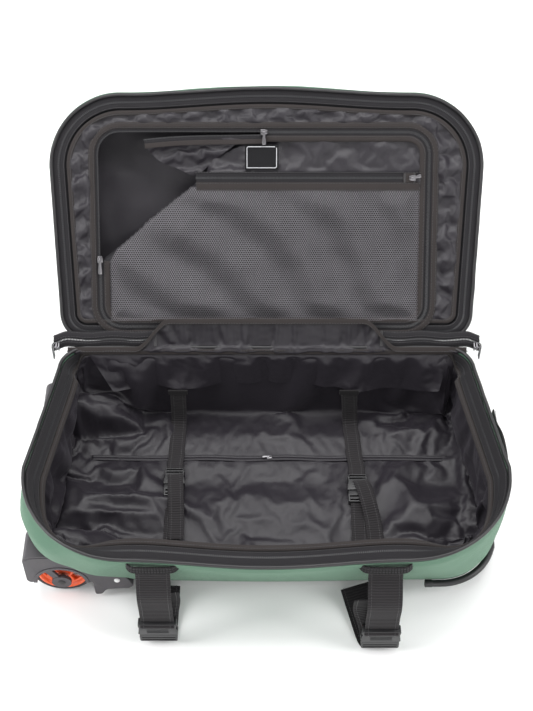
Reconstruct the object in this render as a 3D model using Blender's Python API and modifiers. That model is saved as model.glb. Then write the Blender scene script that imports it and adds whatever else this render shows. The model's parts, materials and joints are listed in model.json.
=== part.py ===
"""Softside two-wheel suitcase with a telescopic handle, lying open on its back panel.

Metres, +Z up. +X is the handle end, -X the wheel end, and the lid hinges on the +Y side.
The origin is on the ground, under the middle of the open case.
"""
import math

import bmesh
import bpy
from mathutils import Matrix, Vector

# Driving dimensions
HINGE_Y = 0.0694
RIM_Z = 0.210
LID_OPEN = math.radians(130)
CLOTH = 0.0025
LINER = 0.0010
GAP = 0.0005

# Outlines of the bag seen from above. Distances run from the hinge line towards the front.
TUB_BOTTOM = {"half_back": 0.335, "half_front": 0.356, "front": 0.337, "back": 0.010,
              "r_front": 0.085, "r_back": 0.045, "bow": 0.004}
TUB_RIM = {"half_back": 0.333, "half_front": 0.366, "front": 0.404, "back": 0.006,
           "r_front": 0.160, "r_back": 0.045, "bow": 0.011}
LID_RIM = {"half_back": 0.331, "half_front": 0.342, "front": 0.395, "back": 0.008,
           "r_front": 0.112, "r_back": 0.040, "bow": 0.010}
TUB_BASE_Z = 0.022
TUB_EDGE_Z = 0.040
TUB_TOP_Z = 0.203
RIM_DROP = 0.004
LID_DEPTH = 0.070
TAPE_WIDTH = 0.027
SLIDER_X = 0.3385
LINING_FLOOR_Z = 0.0515
FLANGE_WIDTH = 0.037

# Wheels and their housings
WHEEL_X = -0.317
WHEEL_R = 0.046
TYRE_INNER_R = 0.0385
WHEEL_HALF_WIDTH = 0.011
AXLE_R = 0.0040
RUNNING_GAP = 0.0001
HOUSING_DEPTH = 0.050
HOUSING_WALL = 0.006
POCKET_R = 0.0485
FRONT_HOUSING_FACE = HINGE_Y - 0.348
REAR_HOUSING_FACE = HINGE_Y - 0.008
ROUND_STEPS = 24

# Telescopic handle
TUBE_YS = {"front": HINGE_Y - 0.206, "rear": HINGE_Y - 0.074}
TUBE_Z = 0.0400
OUTER_TUBE_R = 0.0090
OUTER_BORE_R = 0.0079
INNER_TUBE_R = 0.0075
INNER_BORE_R = 0.0063
OUTER_TUBE_X = (-0.186, 0.3290)
INNER_TUBE_X = (-0.150, 0.3415)
BEZEL_X = (0.3300, 0.3640)
GRIP_X = (0.3420, 0.3620)
GUARD_R = 0.0045

# Webbing
WIDE_WEBBING = 0.050
NARROW_WEBBING = 0.025
WEBBING = 0.0016

# Panel in the lid, measured across from the middle and out from the hinge line
PANEL_LEFT = -0.268
PANEL_RIGHT = 0.259
PANEL_NEAR = 0.026
PANEL_FAR = 0.338
PANEL_CUT_X = -0.004
PANEL_CUT_S = 0.136
POCKET_ZIP_S = 0.266
PANEL_ZIP_WIDTH = 0.012
PANEL_CORNER = 0.035


# ---------------------------------------------------------------- scene and materials

def clear_scene():
    for thing in list(bpy.data.objects):
        bpy.data.objects.remove(thing, do_unlink=True)


def new_collection(name):
    group = bpy.data.collections.new(name)
    bpy.context.scene.collection.children.link(group)
    return group


def make_material(name, colour, roughness, metallic=0.0):
    material = bpy.data.materials.new(name)
    material.use_nodes = True
    shader = material.node_tree.nodes["Principled BSDF"]
    shader.inputs["Base Color"].default_value = (*colour, 1.0)
    shader.inputs["Roughness"].default_value = roughness
    shader.inputs["Metallic"].default_value = metallic
    return material


clear_scene()
PARTS = new_collection("softside_suitcase")
CUTTERS = new_collection("cutters")
MATERIALS = {
    "shell_fabric": make_material("shell_fabric", (0.19, 0.36, 0.26), 0.85),
    "lining_fabric": make_material("lining_fabric", (0.055, 0.055, 0.065), 0.55),
    "zip_tape": make_material("zip_tape", (0.020, 0.020, 0.022), 0.80),
    "piping": make_material("piping", (0.012, 0.012, 0.013), 0.50),
    "webbing": make_material("webbing", (0.025, 0.025, 0.027), 0.85),
    "mesh_fabric": make_material("mesh_fabric", (0.050, 0.050, 0.055), 0.60),
    "patch_fabric": make_material("patch_fabric", (0.015, 0.015, 0.016), 0.70),
    "black_plastic": make_material("black_plastic", (0.030, 0.030, 0.032), 0.45),
    "grey_plastic": make_material("grey_plastic", (0.085, 0.082, 0.090), 0.50),
    "orange_plastic": make_material("orange_plastic", (0.85, 0.13, 0.03), 0.40),
    "tyre_rubber": make_material("tyre_rubber", (0.14, 0.13, 0.14), 0.70),
    "zinc": make_material("zinc", (0.55, 0.55, 0.57), 0.30, 1.0),
    "steel": make_material("steel", (0.50, 0.50, 0.52), 0.30, 1.0),
    "aluminium": make_material("aluminium", (0.72, 0.72, 0.74), 0.30, 1.0),
    "base_board": make_material("base_board", (0.10, 0.10, 0.11), 0.60),
}


# ---------------------------------------------------------------- modelling helpers

def add_object(name, data, material, parent=None):
    """Put one sub-part in the model, in its parent's local frame."""
    piece = bpy.data.objects.new(name, data)
    data.materials.append(MATERIALS[material])
    PARTS.objects.link(piece)
    piece.parent = parent
    return piece


def pivot(name, location, rotation=(0.0, 0.0, 0.0), parent=None):
    """An empty on a joint's axis, which the pieces of one moving body hang from."""
    empty = bpy.data.objects.new(name, None)
    empty.empty_display_size = 0.02
    empty.location = location
    empty.rotation_euler = rotation
    empty.parent = parent
    PARTS.objects.link(empty)
    return empty


def smooth_shading(piece):
    piece.data.shade_smooth()
    piece.data.set_sharp_from_angle(angle=math.radians(35))


def solidify(piece, thickness, offset=-1.0):
    shell = piece.modifiers.new("thickness", "SOLIDIFY")
    shell.thickness = thickness
    shell.offset = offset


def bevel(piece, width, segments=1):
    rounding = piece.modifiers.new("rounding", "BEVEL")
    rounding.width = width
    rounding.segments = segments
    rounding.limit_method = "ANGLE"
    rounding.angle_limit = math.radians(40)


def block_mesh(name, low, high):
    low = Vector(low)
    high = Vector(high)
    mesh = bpy.data.meshes.new(name)
    shape = bmesh.new()
    bmesh.ops.create_cube(shape, size=1.0)
    for vertex in shape.verts:
        vertex.co = Vector(l + (h - l) * (c + 0.5) for l, h, c in zip(low, high, vertex.co))
    shape.to_mesh(mesh)
    shape.free()
    return mesh


def block(name, low, high, material, rounding=0.0, parent=None):
    piece = add_object(name, block_mesh(name, low, high), material, parent)
    if rounding:
        bevel(piece, rounding)
    return piece


def cutter(name, mesh, parent=None):
    tool = bpy.data.objects.new(name, mesh)
    tool.hide_render = True
    tool.display_type = "WIRE"
    tool.parent = parent
    CUTTERS.objects.link(tool)
    return tool


def combine(piece, tool, operation="DIFFERENCE"):
    boolean = piece.modifiers.new(tool.name, "BOOLEAN")
    boolean.object = tool
    boolean.operation = operation
    boolean.solver = "EXACT"


def rod_mesh(name, start, end, radius, steps=ROUND_STEPS):
    """A round bar between two points."""
    start = Vector(start)
    end = Vector(end)
    axis = end - start
    mesh = bpy.data.meshes.new(name)
    shape = bmesh.new()
    bmesh.ops.create_cone(shape, cap_ends=True, segments=steps, radius1=radius, radius2=radius,
                          depth=axis.length)
    turn = Vector((0.0, 0.0, 1.0)).rotation_difference(axis.normalized()).to_matrix().to_4x4()
    shape.transform(Matrix.Translation((start + end) / 2.0) @ turn)
    shape.to_mesh(mesh)
    shape.free()
    return mesh


def rod(name, start, end, radius, material, parent=None):
    piece = add_object(name, rod_mesh(name, start, end, radius), material, parent)
    smooth_shading(piece)
    return piece


def tube(name, start, end, radius, bore, material, parent=None):
    piece = rod(name, start, end, radius, material, parent)
    along = (Vector(end) - Vector(start)).normalized() * 0.01
    bore_mesh = rod_mesh(name + "_bore", Vector(start) - along, Vector(end) + along, bore)
    combine(piece, cutter(name + "_bore", bore_mesh, parent))
    return piece


def turned(name, profile, centre, material, parent=None):
    """A turned piece about the Y axis. Its profile of (radius, height) is a closed loop."""
    mesh = bpy.data.meshes.new(name)
    edges = [(i, (i + 1) % len(profile)) for i in range(len(profile))]
    mesh.from_pydata([(radius, 0.0, height) for radius, height in profile], edges, [])
    piece = add_object(name, mesh, material, parent)
    piece.location = centre
    piece.rotation_euler = (-math.pi / 2.0, 0.0, 0.0)
    screw = piece.modifiers.new("turn", "SCREW")
    screw.angle = 2.0 * math.pi
    screw.steps = ROUND_STEPS
    screw.render_steps = ROUND_STEPS
    screw.use_merge_vertices = True
    screw.merge_threshold = 0.00001
    screw.use_normal_calculate = True
    return piece


def flat_curve(name, loops, thickness):
    """A flat outline of straight sides, with any holes as further loops, made as thick as said."""
    curve = bpy.data.curves.new(name, "CURVE")
    curve.dimensions = "2D"
    curve.fill_mode = "BOTH"
    curve.extrude = thickness / 2.0
    for loop in loops:
        spline = curve.splines.new("POLY")
        spline.points.add(len(loop) - 1)
        for point, (x, y) in zip(spline.points, loop):
            point.co = (x, y, 0.0, 1.0)
        spline.use_cyclic_u = True
    return curve


def curve_to_mesh(piece):
    """Turn a curve object into a mesh object with welded caps, in the same place."""
    evaluated = piece.evaluated_get(bpy.context.evaluated_depsgraph_get())
    mesh = bpy.data.meshes.new_from_object(evaluated)
    shape = bmesh.new()
    shape.from_mesh(mesh)
    bmesh.ops.remove_doubles(shape, verts=shape.verts, dist=0.00001)
    bmesh.ops.recalc_face_normals(shape, faces=shape.faces)
    shape.to_mesh(mesh)
    shape.free()
    name = piece.name
    solid = bpy.data.objects.new(name + "_solid", mesh)
    solid.parent = piece.parent
    solid.location = piece.location
    solid.rotation_euler = piece.rotation_euler
    PARTS.objects.link(solid)
    bpy.data.objects.remove(piece, do_unlink=True)
    solid.name = name
    return solid


def plate(name, loops, low, thickness, material, parent=None):
    """A flat sheet in the local XY plane, resting at the height low."""
    piece = add_object(name, flat_curve(name, loops, thickness), material, parent)
    piece.location = (0.0, 0.0, low + thickness / 2.0)
    return curve_to_mesh(piece)


def wire(name, points, radius, material, parent=None, closed=False, resolution=1):
    """A round cord or rail through the points."""
    curve = bpy.data.curves.new(name, "CURVE")
    curve.dimensions = "3D"
    curve.bevel_depth = radius
    curve.bevel_resolution = resolution
    curve.use_fill_caps = not closed
    spline = curve.splines.new("POLY")
    spline.points.add(len(points) - 1)
    for point, place in zip(spline.points, points):
        point.co = (*place, 1.0)
    spline.use_cyclic_u = closed
    return curve_to_mesh(add_object(name, curve, material, parent))


def loft(name, rings, material, parent=None, cap_first=False, cap_last=False):
    """A surface through closed rings of points that all have the same count."""
    count = len(rings[0])
    faces = []
    for level in range(len(rings) - 1):
        for i in range(count):
            j = (i + 1) % count
            faces.append((level * count + i, level * count + j,
                          (level + 1) * count + j, (level + 1) * count + i))
    if cap_first:
        faces.append(tuple(reversed(range(count))))
    if cap_last:
        faces.append(tuple(range((len(rings) - 1) * count, len(rings) * count)))
    mesh = bpy.data.meshes.new(name)
    mesh.from_pydata([point for ring in rings for point in ring], [], faces)
    piece = add_object(name, mesh, material, parent)
    smooth_shading(piece)
    return piece


def smooth_path(points, steps=3):
    """A Catmull-Rom curve through a few points, each a tuple of the same length."""
    ends = [points[0]] + list(points) + [points[-1]]
    path = []
    for a, b, c, d in zip(ends, ends[1:], ends[2:], ends[3:]):
        for step in range(steps):
            t = step / steps
            path.append(tuple(0.5 * (2 * q + (r - p) * t + (2 * p - 5 * q + 4 * r - s) * t * t
                                     + (3 * q - p - 3 * r + s) * t * t * t)
                              for p, q, r, s in zip(a, b, c, d)))
    path.append(tuple(points[-1]))
    return path


def ribbon(name, path, width, material, parent=None, thickness=WEBBING):
    """Flat webbing along a path of (x, y, z), as wide as said along X."""
    mesh = bpy.data.meshes.new(name)
    points = [(x + side * width / 2.0, y, z) for x, y, z in path for side in (-1, 1)]
    faces = [(2 * i, 2 * i + 1, 2 * i + 3, 2 * i + 2) for i in range(len(path) - 1)]
    mesh.from_pydata(points, [], faces)
    piece = add_object(name, mesh, material, parent)
    solidify(piece, thickness, 0.0)
    return piece


# ---------------------------------------------------------------- outlines of the bag

def arc(centre, radius, start, end, steps):
    """Points on an arc, angles in degrees, both ends included."""
    angles = [math.radians(start + (end - start) * i / steps) for i in range(steps + 1)]
    return [(centre[0] + radius * math.cos(a), centre[1] + radius * math.sin(a)) for a in angles]


def outline(shape, inset=0.0):
    """The bag's outline from above, anticlockwise from the middle of the front."""
    half_back = shape["half_back"] - inset
    half_front = shape["half_front"] - inset
    front = shape["front"] - inset
    back = shape["back"] + inset
    r_front = max(shape["r_front"] - inset, 0.01)
    r_back = max(shape["r_back"] - inset, 0.01)
    straight = half_front - r_front
    right = []
    for i in range(6):
        x = straight * i / 6
        right.append((x, -front - shape["bow"] * 0.5 * (1.0 + math.cos(math.pi * x / straight))))
    right += arc((straight, -front + r_front), r_front, -90, 0, 7)
    for i in (1, 2, 3):
        t = i / 4
        right.append((half_front + (half_back - half_front) * t,
                      (r_front - front) * (1.0 - t) + (-back - r_back) * t))
    right += arc((half_back - r_back, -back - r_back), r_back, 0, 90, 4)
    for i in range(1, 5):
        right.append(((half_back - r_back) * (1.0 - i / 4), -back))
    left = [(-x, y) for x, y in reversed(right[1:-1])]
    return right + left


def tub_ring(z, inset=0.0):
    """The tub's outline at a height. Its front leans out and sags a little at the rim."""
    t = max(0.0, (z - TUB_EDGE_Z) / (TUB_TOP_Z - TUB_EDGE_Z))
    shape = {key: TUB_BOTTOM[key] + (TUB_RIM[key] - TUB_BOTTOM[key]) * t for key in TUB_BOTTOM}
    ring = []
    for x, y in outline(shape, inset):
        forward = min(1.0, max(0.0, (-y - 0.25) / 0.13))
        across = 0.5 * (1.0 + math.cos(math.pi * min(1.0, abs(x) / shape["half_front"])))
        ring.append((x, HINGE_Y + y, z - RIM_DROP * t * t * forward * across))
    return ring


def rim_flange(reach):
    """A ring of the zip facing, which turns in from the tub's rim: nearly flat along the front, half
    turned along the sides, and straight down at the corners and the back."""
    rim = tub_ring(TUB_TOP_Z - 0.001, 0.0036)
    ring = []
    for i, (x, y, z) in enumerate(rim):
        before = rim[i - 1]
        after = rim[(i + 1) % len(rim)]
        along = Vector((after[0] - before[0], after[1] - before[1])).normalized()
        out_x, out_y = along.y, -along.x
        turned = 0.93 * max(0.0, -out_y) ** 2 + 0.50 * out_x ** 2
        angle = math.pi / 2.0 * turned * (1.0 - 0.80 * (2.0 * out_x * out_y) ** 2)
        level = reach * math.sin(angle)
        ring.append((x - out_x * level, y - out_y * level, z - reach * math.cos(angle)))
    return ring


def lid_ring(z, inset=0.0):
    """The lid's outline at a depth, in the closed lid's own frame at the hinge line."""
    return [(x, y, z) for x, y in outline(LID_RIM, inset)]


def panel_loop(inset):
    """The rounded rectangle of the lid's zipped panel, in the closed lid's frame."""
    left = PANEL_LEFT + inset
    right = PANEL_RIGHT - inset
    near = -PANEL_NEAR - inset
    far = -PANEL_FAR + inset
    r = PANEL_CORNER - inset
    loop = arc((left + r, far + r), r, 180, 270, 5)
    loop += arc((right - r, far + r), r, 270, 360, 5)
    loop += arc((right - r, near - r), r, 0, 90, 5)
    loop += arc((left + r, near - r), r, 90, 180, 5)
    return loop


# ---------------------------------------------------------------- tub

def wheel_housing(side):
    """Moulded corner with a pocket for the wheel, its outer face to the front or the rear."""
    sign = 1.0 if side == "front" else -1.0
    face = FRONT_HOUSING_FACE if side == "front" else REAR_HOUSING_FACE
    inner = face + sign * HOUSING_DEPTH
    name = "wheel_housing_" + side
    profile = [(-0.370, 0.052), (-0.370, 0.110), (-0.363, 0.118), (-0.335, 0.121), (-0.300, 0.114),
               (-0.262, 0.096), (-0.216, 0.062), (-0.206, 0.036), (-0.214, 0.028), (-0.250, 0.024),
               (-0.258, 0.010), (-0.268, 0.009), (-0.2685, 0.046), (-0.366, 0.046)]
    piece = add_object(name, flat_curve(name, [profile], HOUSING_DEPTH), "grey_plastic")
    piece.rotation_euler = (math.pi / 2.0, 0.0, 0.0)
    piece.location = (0.0, (face + inner) / 2.0, 0.0)
    piece = curve_to_mesh(piece)
    bevel(piece, 0.0015)

    def across(x, z, start, end, radius, label):
        low = face + sign * start
        high = face + sign * end
        return rod_mesh(name + label, (x, low, z), (x, high, z), radius)

    pocket = across(WHEEL_X, WHEEL_R, HOUSING_WALL, HOUSING_DEPTH - HOUSING_WALL, POCKET_R, "_pocket")
    combine(piece, cutter(name + "_pocket", pocket))
    window = across(WHEEL_X, WHEEL_R, -0.002, HOUSING_WALL + 0.002, 0.0375, "_window")
    combine(piece, cutter(name + "_window", window))
    low = min(face, face + sign * HOUSING_WALL)
    strut = block_mesh(name + "_strut", (WHEEL_X - 0.006, low, WHEEL_R), (WHEEL_X + 0.006,
                       low + HOUSING_WALL, WHEEL_R + 0.045))
    combine(piece, cutter(name + "_strut", strut), "UNION")
    boss = across(WHEEL_X, WHEEL_R, 0.0, HOUSING_WALL + 0.0001, 0.015, "_boss")
    combine(piece, cutter(name + "_boss", boss), "UNION")
    seat = across(WHEEL_X, WHEEL_R, 0.003, HOUSING_DEPTH - 0.003, AXLE_R + RUNNING_GAP, "_seat")
    combine(piece, cutter(name + "_seat", seat))
    start = (WHEEL_X, face + sign * 0.0034, WHEEL_R)
    end = (WHEEL_X, face + sign * (HOUSING_DEPTH - 0.0034), WHEEL_R)
    rod("axle_" + side, start, end, AXLE_R, "steel")

    recess_outline = [(x + GAP, z + 2.0 * GAP) for x, z in profile[:8]]
    recess_outline[0] = (-0.42, 0.120)
    recess_outline += [(-0.206 + GAP, -0.01), (-0.42, -0.01)]
    beyond = 0.03
    recess = add_object(name + "_recess", flat_curve(name, [recess_outline],
                        HOUSING_DEPTH + beyond + 2.0 * GAP), "grey_plastic")
    recess.rotation_euler = (math.pi / 2.0, 0.0, 0.0)
    recess.location = (0.0, (face + inner) / 2.0 - sign * beyond / 2.0, 0.0)
    recess = curve_to_mesh(recess)
    PARTS.objects.unlink(recess)
    CUTTERS.objects.link(recess)
    recess.hide_render = True
    recess.display_type = "WIRE"
    return recess


def wheel(side):
    """Tyre on a pierced hub. Both turn on the axle."""
    face = FRONT_HOUSING_FACE if side == "front" else REAR_HOUSING_FACE
    sign = 1.0 if side == "front" else -1.0
    centre_y = face + sign * HOUSING_DEPTH / 2.0
    hub_pivot = pivot("wheel_%s_axis" % side, (WHEEL_X, centre_y, WHEEL_R))
    half = WHEEL_HALF_WIDTH
    tread = [(TYRE_INNER_R, half), (WHEEL_R - 0.003, half), (WHEEL_R, half - 0.004),
             (WHEEL_R, -half + 0.004), (WHEEL_R - 0.003, -half), (TYRE_INNER_R, -half)]
    turned("tyre_" + side, tread, (0.0, 0.0, 0.0), "tyre_rubber", hub_pivot)
    rim = TYRE_INNER_R - 0.0003
    bore = AXLE_R + RUNNING_GAP
    nave = 0.011
    web = 0.004
    profile = [(bore, half), (nave, half), (nave + 0.001, web), (rim - 0.005, web),
               (rim - 0.004, half), (rim, half), (rim, -half), (rim - 0.004, -half),
               (rim - 0.005, -web), (nave + 0.001, -web), (nave, -half), (bore, -half)]
    hub = turned("hub_" + side, profile, (0.0, 0.0, 0.0), "orange_plastic", hub_pivot)
    for spoke in range(5):
        angle = 2.0 * math.pi * spoke / 5
        x = 0.022 * math.cos(angle)
        z = 0.022 * math.sin(angle)
        label = "hub_%s_hole_%d" % (side, spoke)
        hole = rod_mesh(label, (x, -0.02, z), (x, 0.02, z), 0.0068, 12)
        combine(hub, cutter(label, hole, hub_pivot))


def tub():
    """Fabric tub, its lining and board, and the zip tape and piping round its rim."""
    levels = [(TUB_BASE_Z, 0.034), (TUB_BASE_Z + 0.002, 0.012), (TUB_EDGE_Z, 0.0), (0.095, -0.002),
              (0.150, -0.002), (TUB_TOP_Z, 0.0)]
    shell = loft("tub_shell", [tub_ring(z, inset) for z, inset in levels], "shell_fabric",
                 cap_first=True)
    solidify(shell, CLOTH)
    floor = LINING_FLOOR_Z
    levels = [(floor, 0.030), (floor + 0.002, 0.012), (0.075, 0.006), (0.110, 0.006), (0.150, 0.006)]
    lining = loft("tub_lining", [tub_ring(z, inset) for z, inset in levels], "lining_fabric",
                  cap_first=True)
    solidify(lining, LINER)
    band = loft("tub_zip_tape", [rim_flange(FLANGE_WIDTH), rim_flange(0.018), rim_flange(0.0)], "zip_tape")
    solidify(band, 0.0012)
    rim = [(x, y, z + 0.0046) for x, y, z in tub_ring(TUB_TOP_Z, 0.0010)]
    wire("tub_piping", rim, 0.0030, "piping", closed=True)
    board_loop = outline(TUB_BOTTOM, 0.036)
    board = plate("base_board", [[(x, y + HINGE_Y) for x, y in board_loop]],
                  TUB_BASE_Z + CLOTH + GAP, 0.0040, "base_board")
    return shell, lining, board


def end_guard():
    """Bent tube at the handle end: it guards both bottom corners and dips between them as a foot."""
    ring = tub_ring(0.0335, -0.0055)
    corners = [point for point in ring[:len(ring) // 2] if point[0] > 0.235]
    front = [point for point in corners if point[1] < HINGE_Y - 0.265]
    rear = [point for point in corners if point[1] > HINGE_Y - 0.030]
    lie = GUARD_R + GAP
    foot = [(0.3580, HINGE_Y - 0.248, 0.0270), (0.3560, HINGE_Y - 0.238, 0.0110),
            (0.3480, HINGE_Y - 0.222, lie), (0.3400, HINGE_Y - 0.192, lie),
            (0.3400, HINGE_Y - 0.086, lie), (0.3430, HINGE_Y - 0.062, lie),
            (0.3460, HINGE_Y - 0.046, 0.0100), (0.3440, HINGE_Y - 0.037, 0.0240)]
    wire("end_guard", smooth_path(front + foot + rear, 2), GUARD_R, "black_plastic")


def grab_handle():
    """Padded webbing loop on the handle end."""
    y = HINGE_Y - 0.172
    points = [(0.3665, y - 0.085, 0.135), (0.3690, y - 0.060, 0.135), (0.3755, y - 0.035, 0.135),
              (0.3775, y, 0.135), (0.3755, y + 0.035, 0.135), (0.3690, y + 0.060, 0.135),
              (0.3665, y + 0.085, 0.135)]
    path = smooth_path(points, 3)
    mesh = bpy.data.meshes.new("grab_handle")
    rows = [(x, py, pz + side * 0.014) for x, py, pz in path for side in (-1, 1)]
    faces = [(2 * i, 2 * i + 1, 2 * i + 3, 2 * i + 2) for i in range(len(path) - 1)]
    mesh.from_pydata(rows, [], faces)
    solidify(add_object("grab_handle", mesh, "webbing"), 0.004, 0.0)


def hinge_tape():
    """Rolled tape along the hinge line, where the lid's and the tub's fabric are sewn together."""
    ends = [(-0.285, HINGE_Y, RIM_Z), (0.0, HINGE_Y, RIM_Z), (0.285, HINGE_Y, RIM_Z)]
    wire("hinge_tape", ends, 0.0040, "zip_tape")


def floor_zip():
    """Zip along the lining floor, which opens to the handle's tubes, and its slider."""
    y = HINGE_Y - 0.118
    top = LINING_FLOOR_Z + LINER + GAP
    block("floor_zip", (-0.290, y - 0.013, top), (0.300, y + 0.013, top + 0.0014), "zip_tape")
    runner = pivot("floor_zip_slider_axis", (0.005, y, top + 0.0014))
    block("floor_zip_slider", (-0.007, -0.0045, 0.0004), (0.007, 0.0045, 0.0050), "zinc", 0.0012,
          runner)


# ---------------------------------------------------------------- telescopic handle

def trolley(shell, lining):
    """Two tubes in two tubes, with a bezel, an end bracket, a grip and its release button."""
    middle = (TUBE_YS["front"] + TUBE_YS["rear"]) / 2.0
    half = 0.095
    low = (BEZEL_X[0], middle - half, TUBE_Z - 0.0138)
    high = (BEZEL_X[1], middle + half, TUBE_Z + 0.0170)
    bezel = block("handle_bezel", low, high, "black_plastic", 0.003)
    recess = block_mesh("bezel_recess", (BEZEL_X[0] + 0.008, middle - half + 0.006, low[2] + 0.004),
                        (BEZEL_X[1] + 0.01, middle + half - 0.006, high[2] - 0.004))
    combine(bezel, cutter("bezel_recess", recess))
    room = block_mesh("bezel_room", Vector(low) - Vector((0.012, GAP, GAP)),
                      Vector(high) + Vector((0.03, GAP, GAP)))
    room_tool = cutter("bezel_room", room)
    combine(shell, room_tool)
    combine(lining, room_tool)

    slider = pivot("handle_slide_axis", (GRIP_X[0], middle, TUBE_Z))
    bracket = block("tube_bracket", (-0.196, middle - 0.085, TUBE_Z - 0.0098),
                    (-0.176, middle + 0.085, TUBE_Z + 0.0105), "black_plastic", 0.002)
    for side, y in TUBE_YS.items():
        start = (OUTER_TUBE_X[0], y, TUBE_Z)
        end = (OUTER_TUBE_X[1], y, TUBE_Z)
        tube("outer_tube_" + side, start, end, OUTER_TUBE_R, OUTER_BORE_R, "aluminium")
        label = "bracket_socket_" + side
        socket = rod_mesh(label, (OUTER_TUBE_X[0] - 0.0003, y, TUBE_Z), (0.0, y, TUBE_Z),
                          OUTER_TUBE_R + 0.0003)
        combine(bracket, cutter(label, socket))
        label = "bezel_hole_" + side
        hole = rod_mesh(label, (0.30, y, TUBE_Z), (0.345, y, TUBE_Z), INNER_TUBE_R + 0.0004)
        combine(bezel, cutter(label, hole))
        start = (INNER_TUBE_X[0] - GRIP_X[0], y - middle, 0.0)
        end = (INNER_TUBE_X[1] - GRIP_X[0], y - middle, 0.0)
        tube("inner_tube_" + side, start, end, INNER_TUBE_R, INNER_BORE_R, "aluminium", slider)
    length = GRIP_X[1] - GRIP_X[0]
    grip = block("grip", (0.0, -half + 0.012, -0.0085), (length, half - 0.012, 0.0115),
                 "black_plastic", 0.004, slider)
    well = block_mesh("button_well", (length - 0.006, -0.0182, -0.0057), (length + 0.01, 0.0182, 0.0087))
    combine(grip, cutter("button_well", well, slider))
    button_pivot = pivot("button_press_axis", (length, 0.0, 0.0), parent=slider)
    block("release_button", (-0.0018, -0.0175, -0.0050), (0.0020, 0.0175, 0.0080), "grey_plastic",
          0.0010, button_pivot)


# ---------------------------------------------------------------- lid

def lid_pieces(hinge):
    """Lid tray with its lining, rim, zipped panel and mesh pocket, modelled closed."""
    top = 0.002 + LID_DEPTH
    levels = [(top, 0.045), (top - 0.002, 0.018), (top - 0.012, 0.004), (top - 0.026, 0.0),
              (0.030, -0.001), (0.004, 0.0)]
    shell = loft("lid_shell", [lid_ring(z, inset) for z, inset in levels], "shell_fabric", hinge,
                 cap_first=True)
    shell.data.flip_normals()
    solidify(shell, CLOTH)
    levels = [(top - 0.0050, 0.045), (top - 0.0070, 0.021), (top - 0.017, 0.008), (0.030, 0.0050),
              (0.0105, 0.0050)]
    lining = loft("lid_lining", [lid_ring(z, inset) for z, inset in levels], "lining_fabric",
                  hinge, cap_first=True)
    lining.data.flip_normals()
    solidify(lining, LINER)
    rim = [(x, y, 0.0046) for x, y in outline(LID_RIM, -0.0032)]
    wire("lid_piping", rim, 0.0028, "piping", hinge, closed=True)
    tape_inner = outline(dict(LID_RIM, back=0.0132 - TAPE_WIDTH), TAPE_WIDTH)
    plate("lid_zip_tape", [outline(LID_RIM, 0.0032), tape_inner], 0.0080, 0.0014, "zip_tape", hinge)
    border_outer = outline(dict(LID_RIM, back=0.0138 - TAPE_WIDTH), TAPE_WIDTH + 0.0006)
    plate("lid_border", [border_outer, panel_loop(-0.0066)], 0.0080, 0.0012, "lining_fabric", hinge)
    plate("panel_zip", [panel_loop(-0.0060), panel_loop(PANEL_ZIP_WIDTH - 0.0060)], 0.0080, 0.0014,
          "zip_tape", hinge)


def lid_panel(hinge):
    """The zipped panel with one corner unzipped, its mesh pocket, pocket zip and blank patch."""
    inset = PANEL_ZIP_WIDTH - 0.0055
    edge = panel_loop(inset)
    kept = [(x, y) for x, y in edge if x > PANEL_CUT_X or y > -PANEL_CUT_S]
    cut_top = (PANEL_CUT_X, -PANEL_FAR + inset)
    cut_side = (PANEL_LEFT + inset, -PANEL_CUT_S)
    sag = [(-0.050, -0.322), (-0.082, -0.298), (-0.111, -0.265), (-0.182, -0.2085), (-0.240, -0.157)]
    panel = kept + [cut_side] + sag[::-1] + [cut_top]
    plate("lid_panel", [panel], 0.0080, 0.0012, "lining_fabric", hinge)
    zip_near = -POCKET_ZIP_S
    mesh_edge = [(PANEL_LEFT + inset + 0.004, -0.045), (PANEL_LEFT + inset + 0.004, -0.135),
                 (-0.238, -0.152), (-0.180, -0.203), (-0.122, zip_near + 0.0185),
                 (PANEL_RIGHT - inset - 0.004, zip_near + 0.0185), (PANEL_RIGHT - inset - 0.004, -0.045)]
    plate("mesh_pocket", [mesh_edge], 0.0066, 0.0010, "mesh_fabric", hinge)
    plate("pocket_zip", [[(-0.108, zip_near - 0.008), (PANEL_RIGHT - inset - 0.004, zip_near - 0.008),
                          (PANEL_RIGHT - inset - 0.004, zip_near + 0.018), (-0.108, zip_near + 0.018)]],
          0.0064, 0.0012, "zip_tape", hinge)
    plate("label_patch", [[(-0.034, -0.318), (0.019, -0.318), (0.019, -0.279), (-0.034, -0.279)]],
          0.0062, 0.0012, "patch_fabric", hinge)
    slider_z = 0.0029
    sliders = {"panel_slider_left": (PANEL_LEFT, -PANEL_CUT_S, 0.0078),
               "panel_slider_top": (PANEL_CUT_X, -PANEL_FAR, 0.0078),
               "pocket_slider": (0.232, zip_near, 0.0062)}
    for name, (x, y, top) in sliders.items():
        axis = pivot(name + "_axis", (x, y, top), parent=hinge)
        if name == "panel_slider_left":
            half = (0.0045, 0.0070)
        else:
            half = (0.0070, 0.0045)
        block(name, (-half[0], -half[1], slider_z - 0.0078), (half[0], half[1], -0.0002),
              "black_plastic", 0.0010, axis)


def main_zip_sliders():
    """The two sliders of the main zip, at the rear corners of the rim, each with its hanging pull."""
    for side, sign in (("left", -1.0), ("right", 1.0)):
        runner = pivot("zip_slider_%s_axis" % side, (sign * SLIDER_X, HINGE_Y - 0.005, RIM_Z))
        block("zip_slider_" + side, (-0.0075, -0.0065, -0.0036), (0.0075, 0.0065, 0.0036), "zinc",
              0.0014, runner)
        hanger = pivot("zip_pull_%s_axis" % side, (sign * 0.0092, 0.0, 0.0), parent=runner)
        block("zip_pull_" + side, (-0.0010, -0.0042, -0.0300), (0.0010, 0.0042, 0.0010), "zinc",
              0.0008, hanger)


# ---------------------------------------------------------------- straps and buckles

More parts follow.
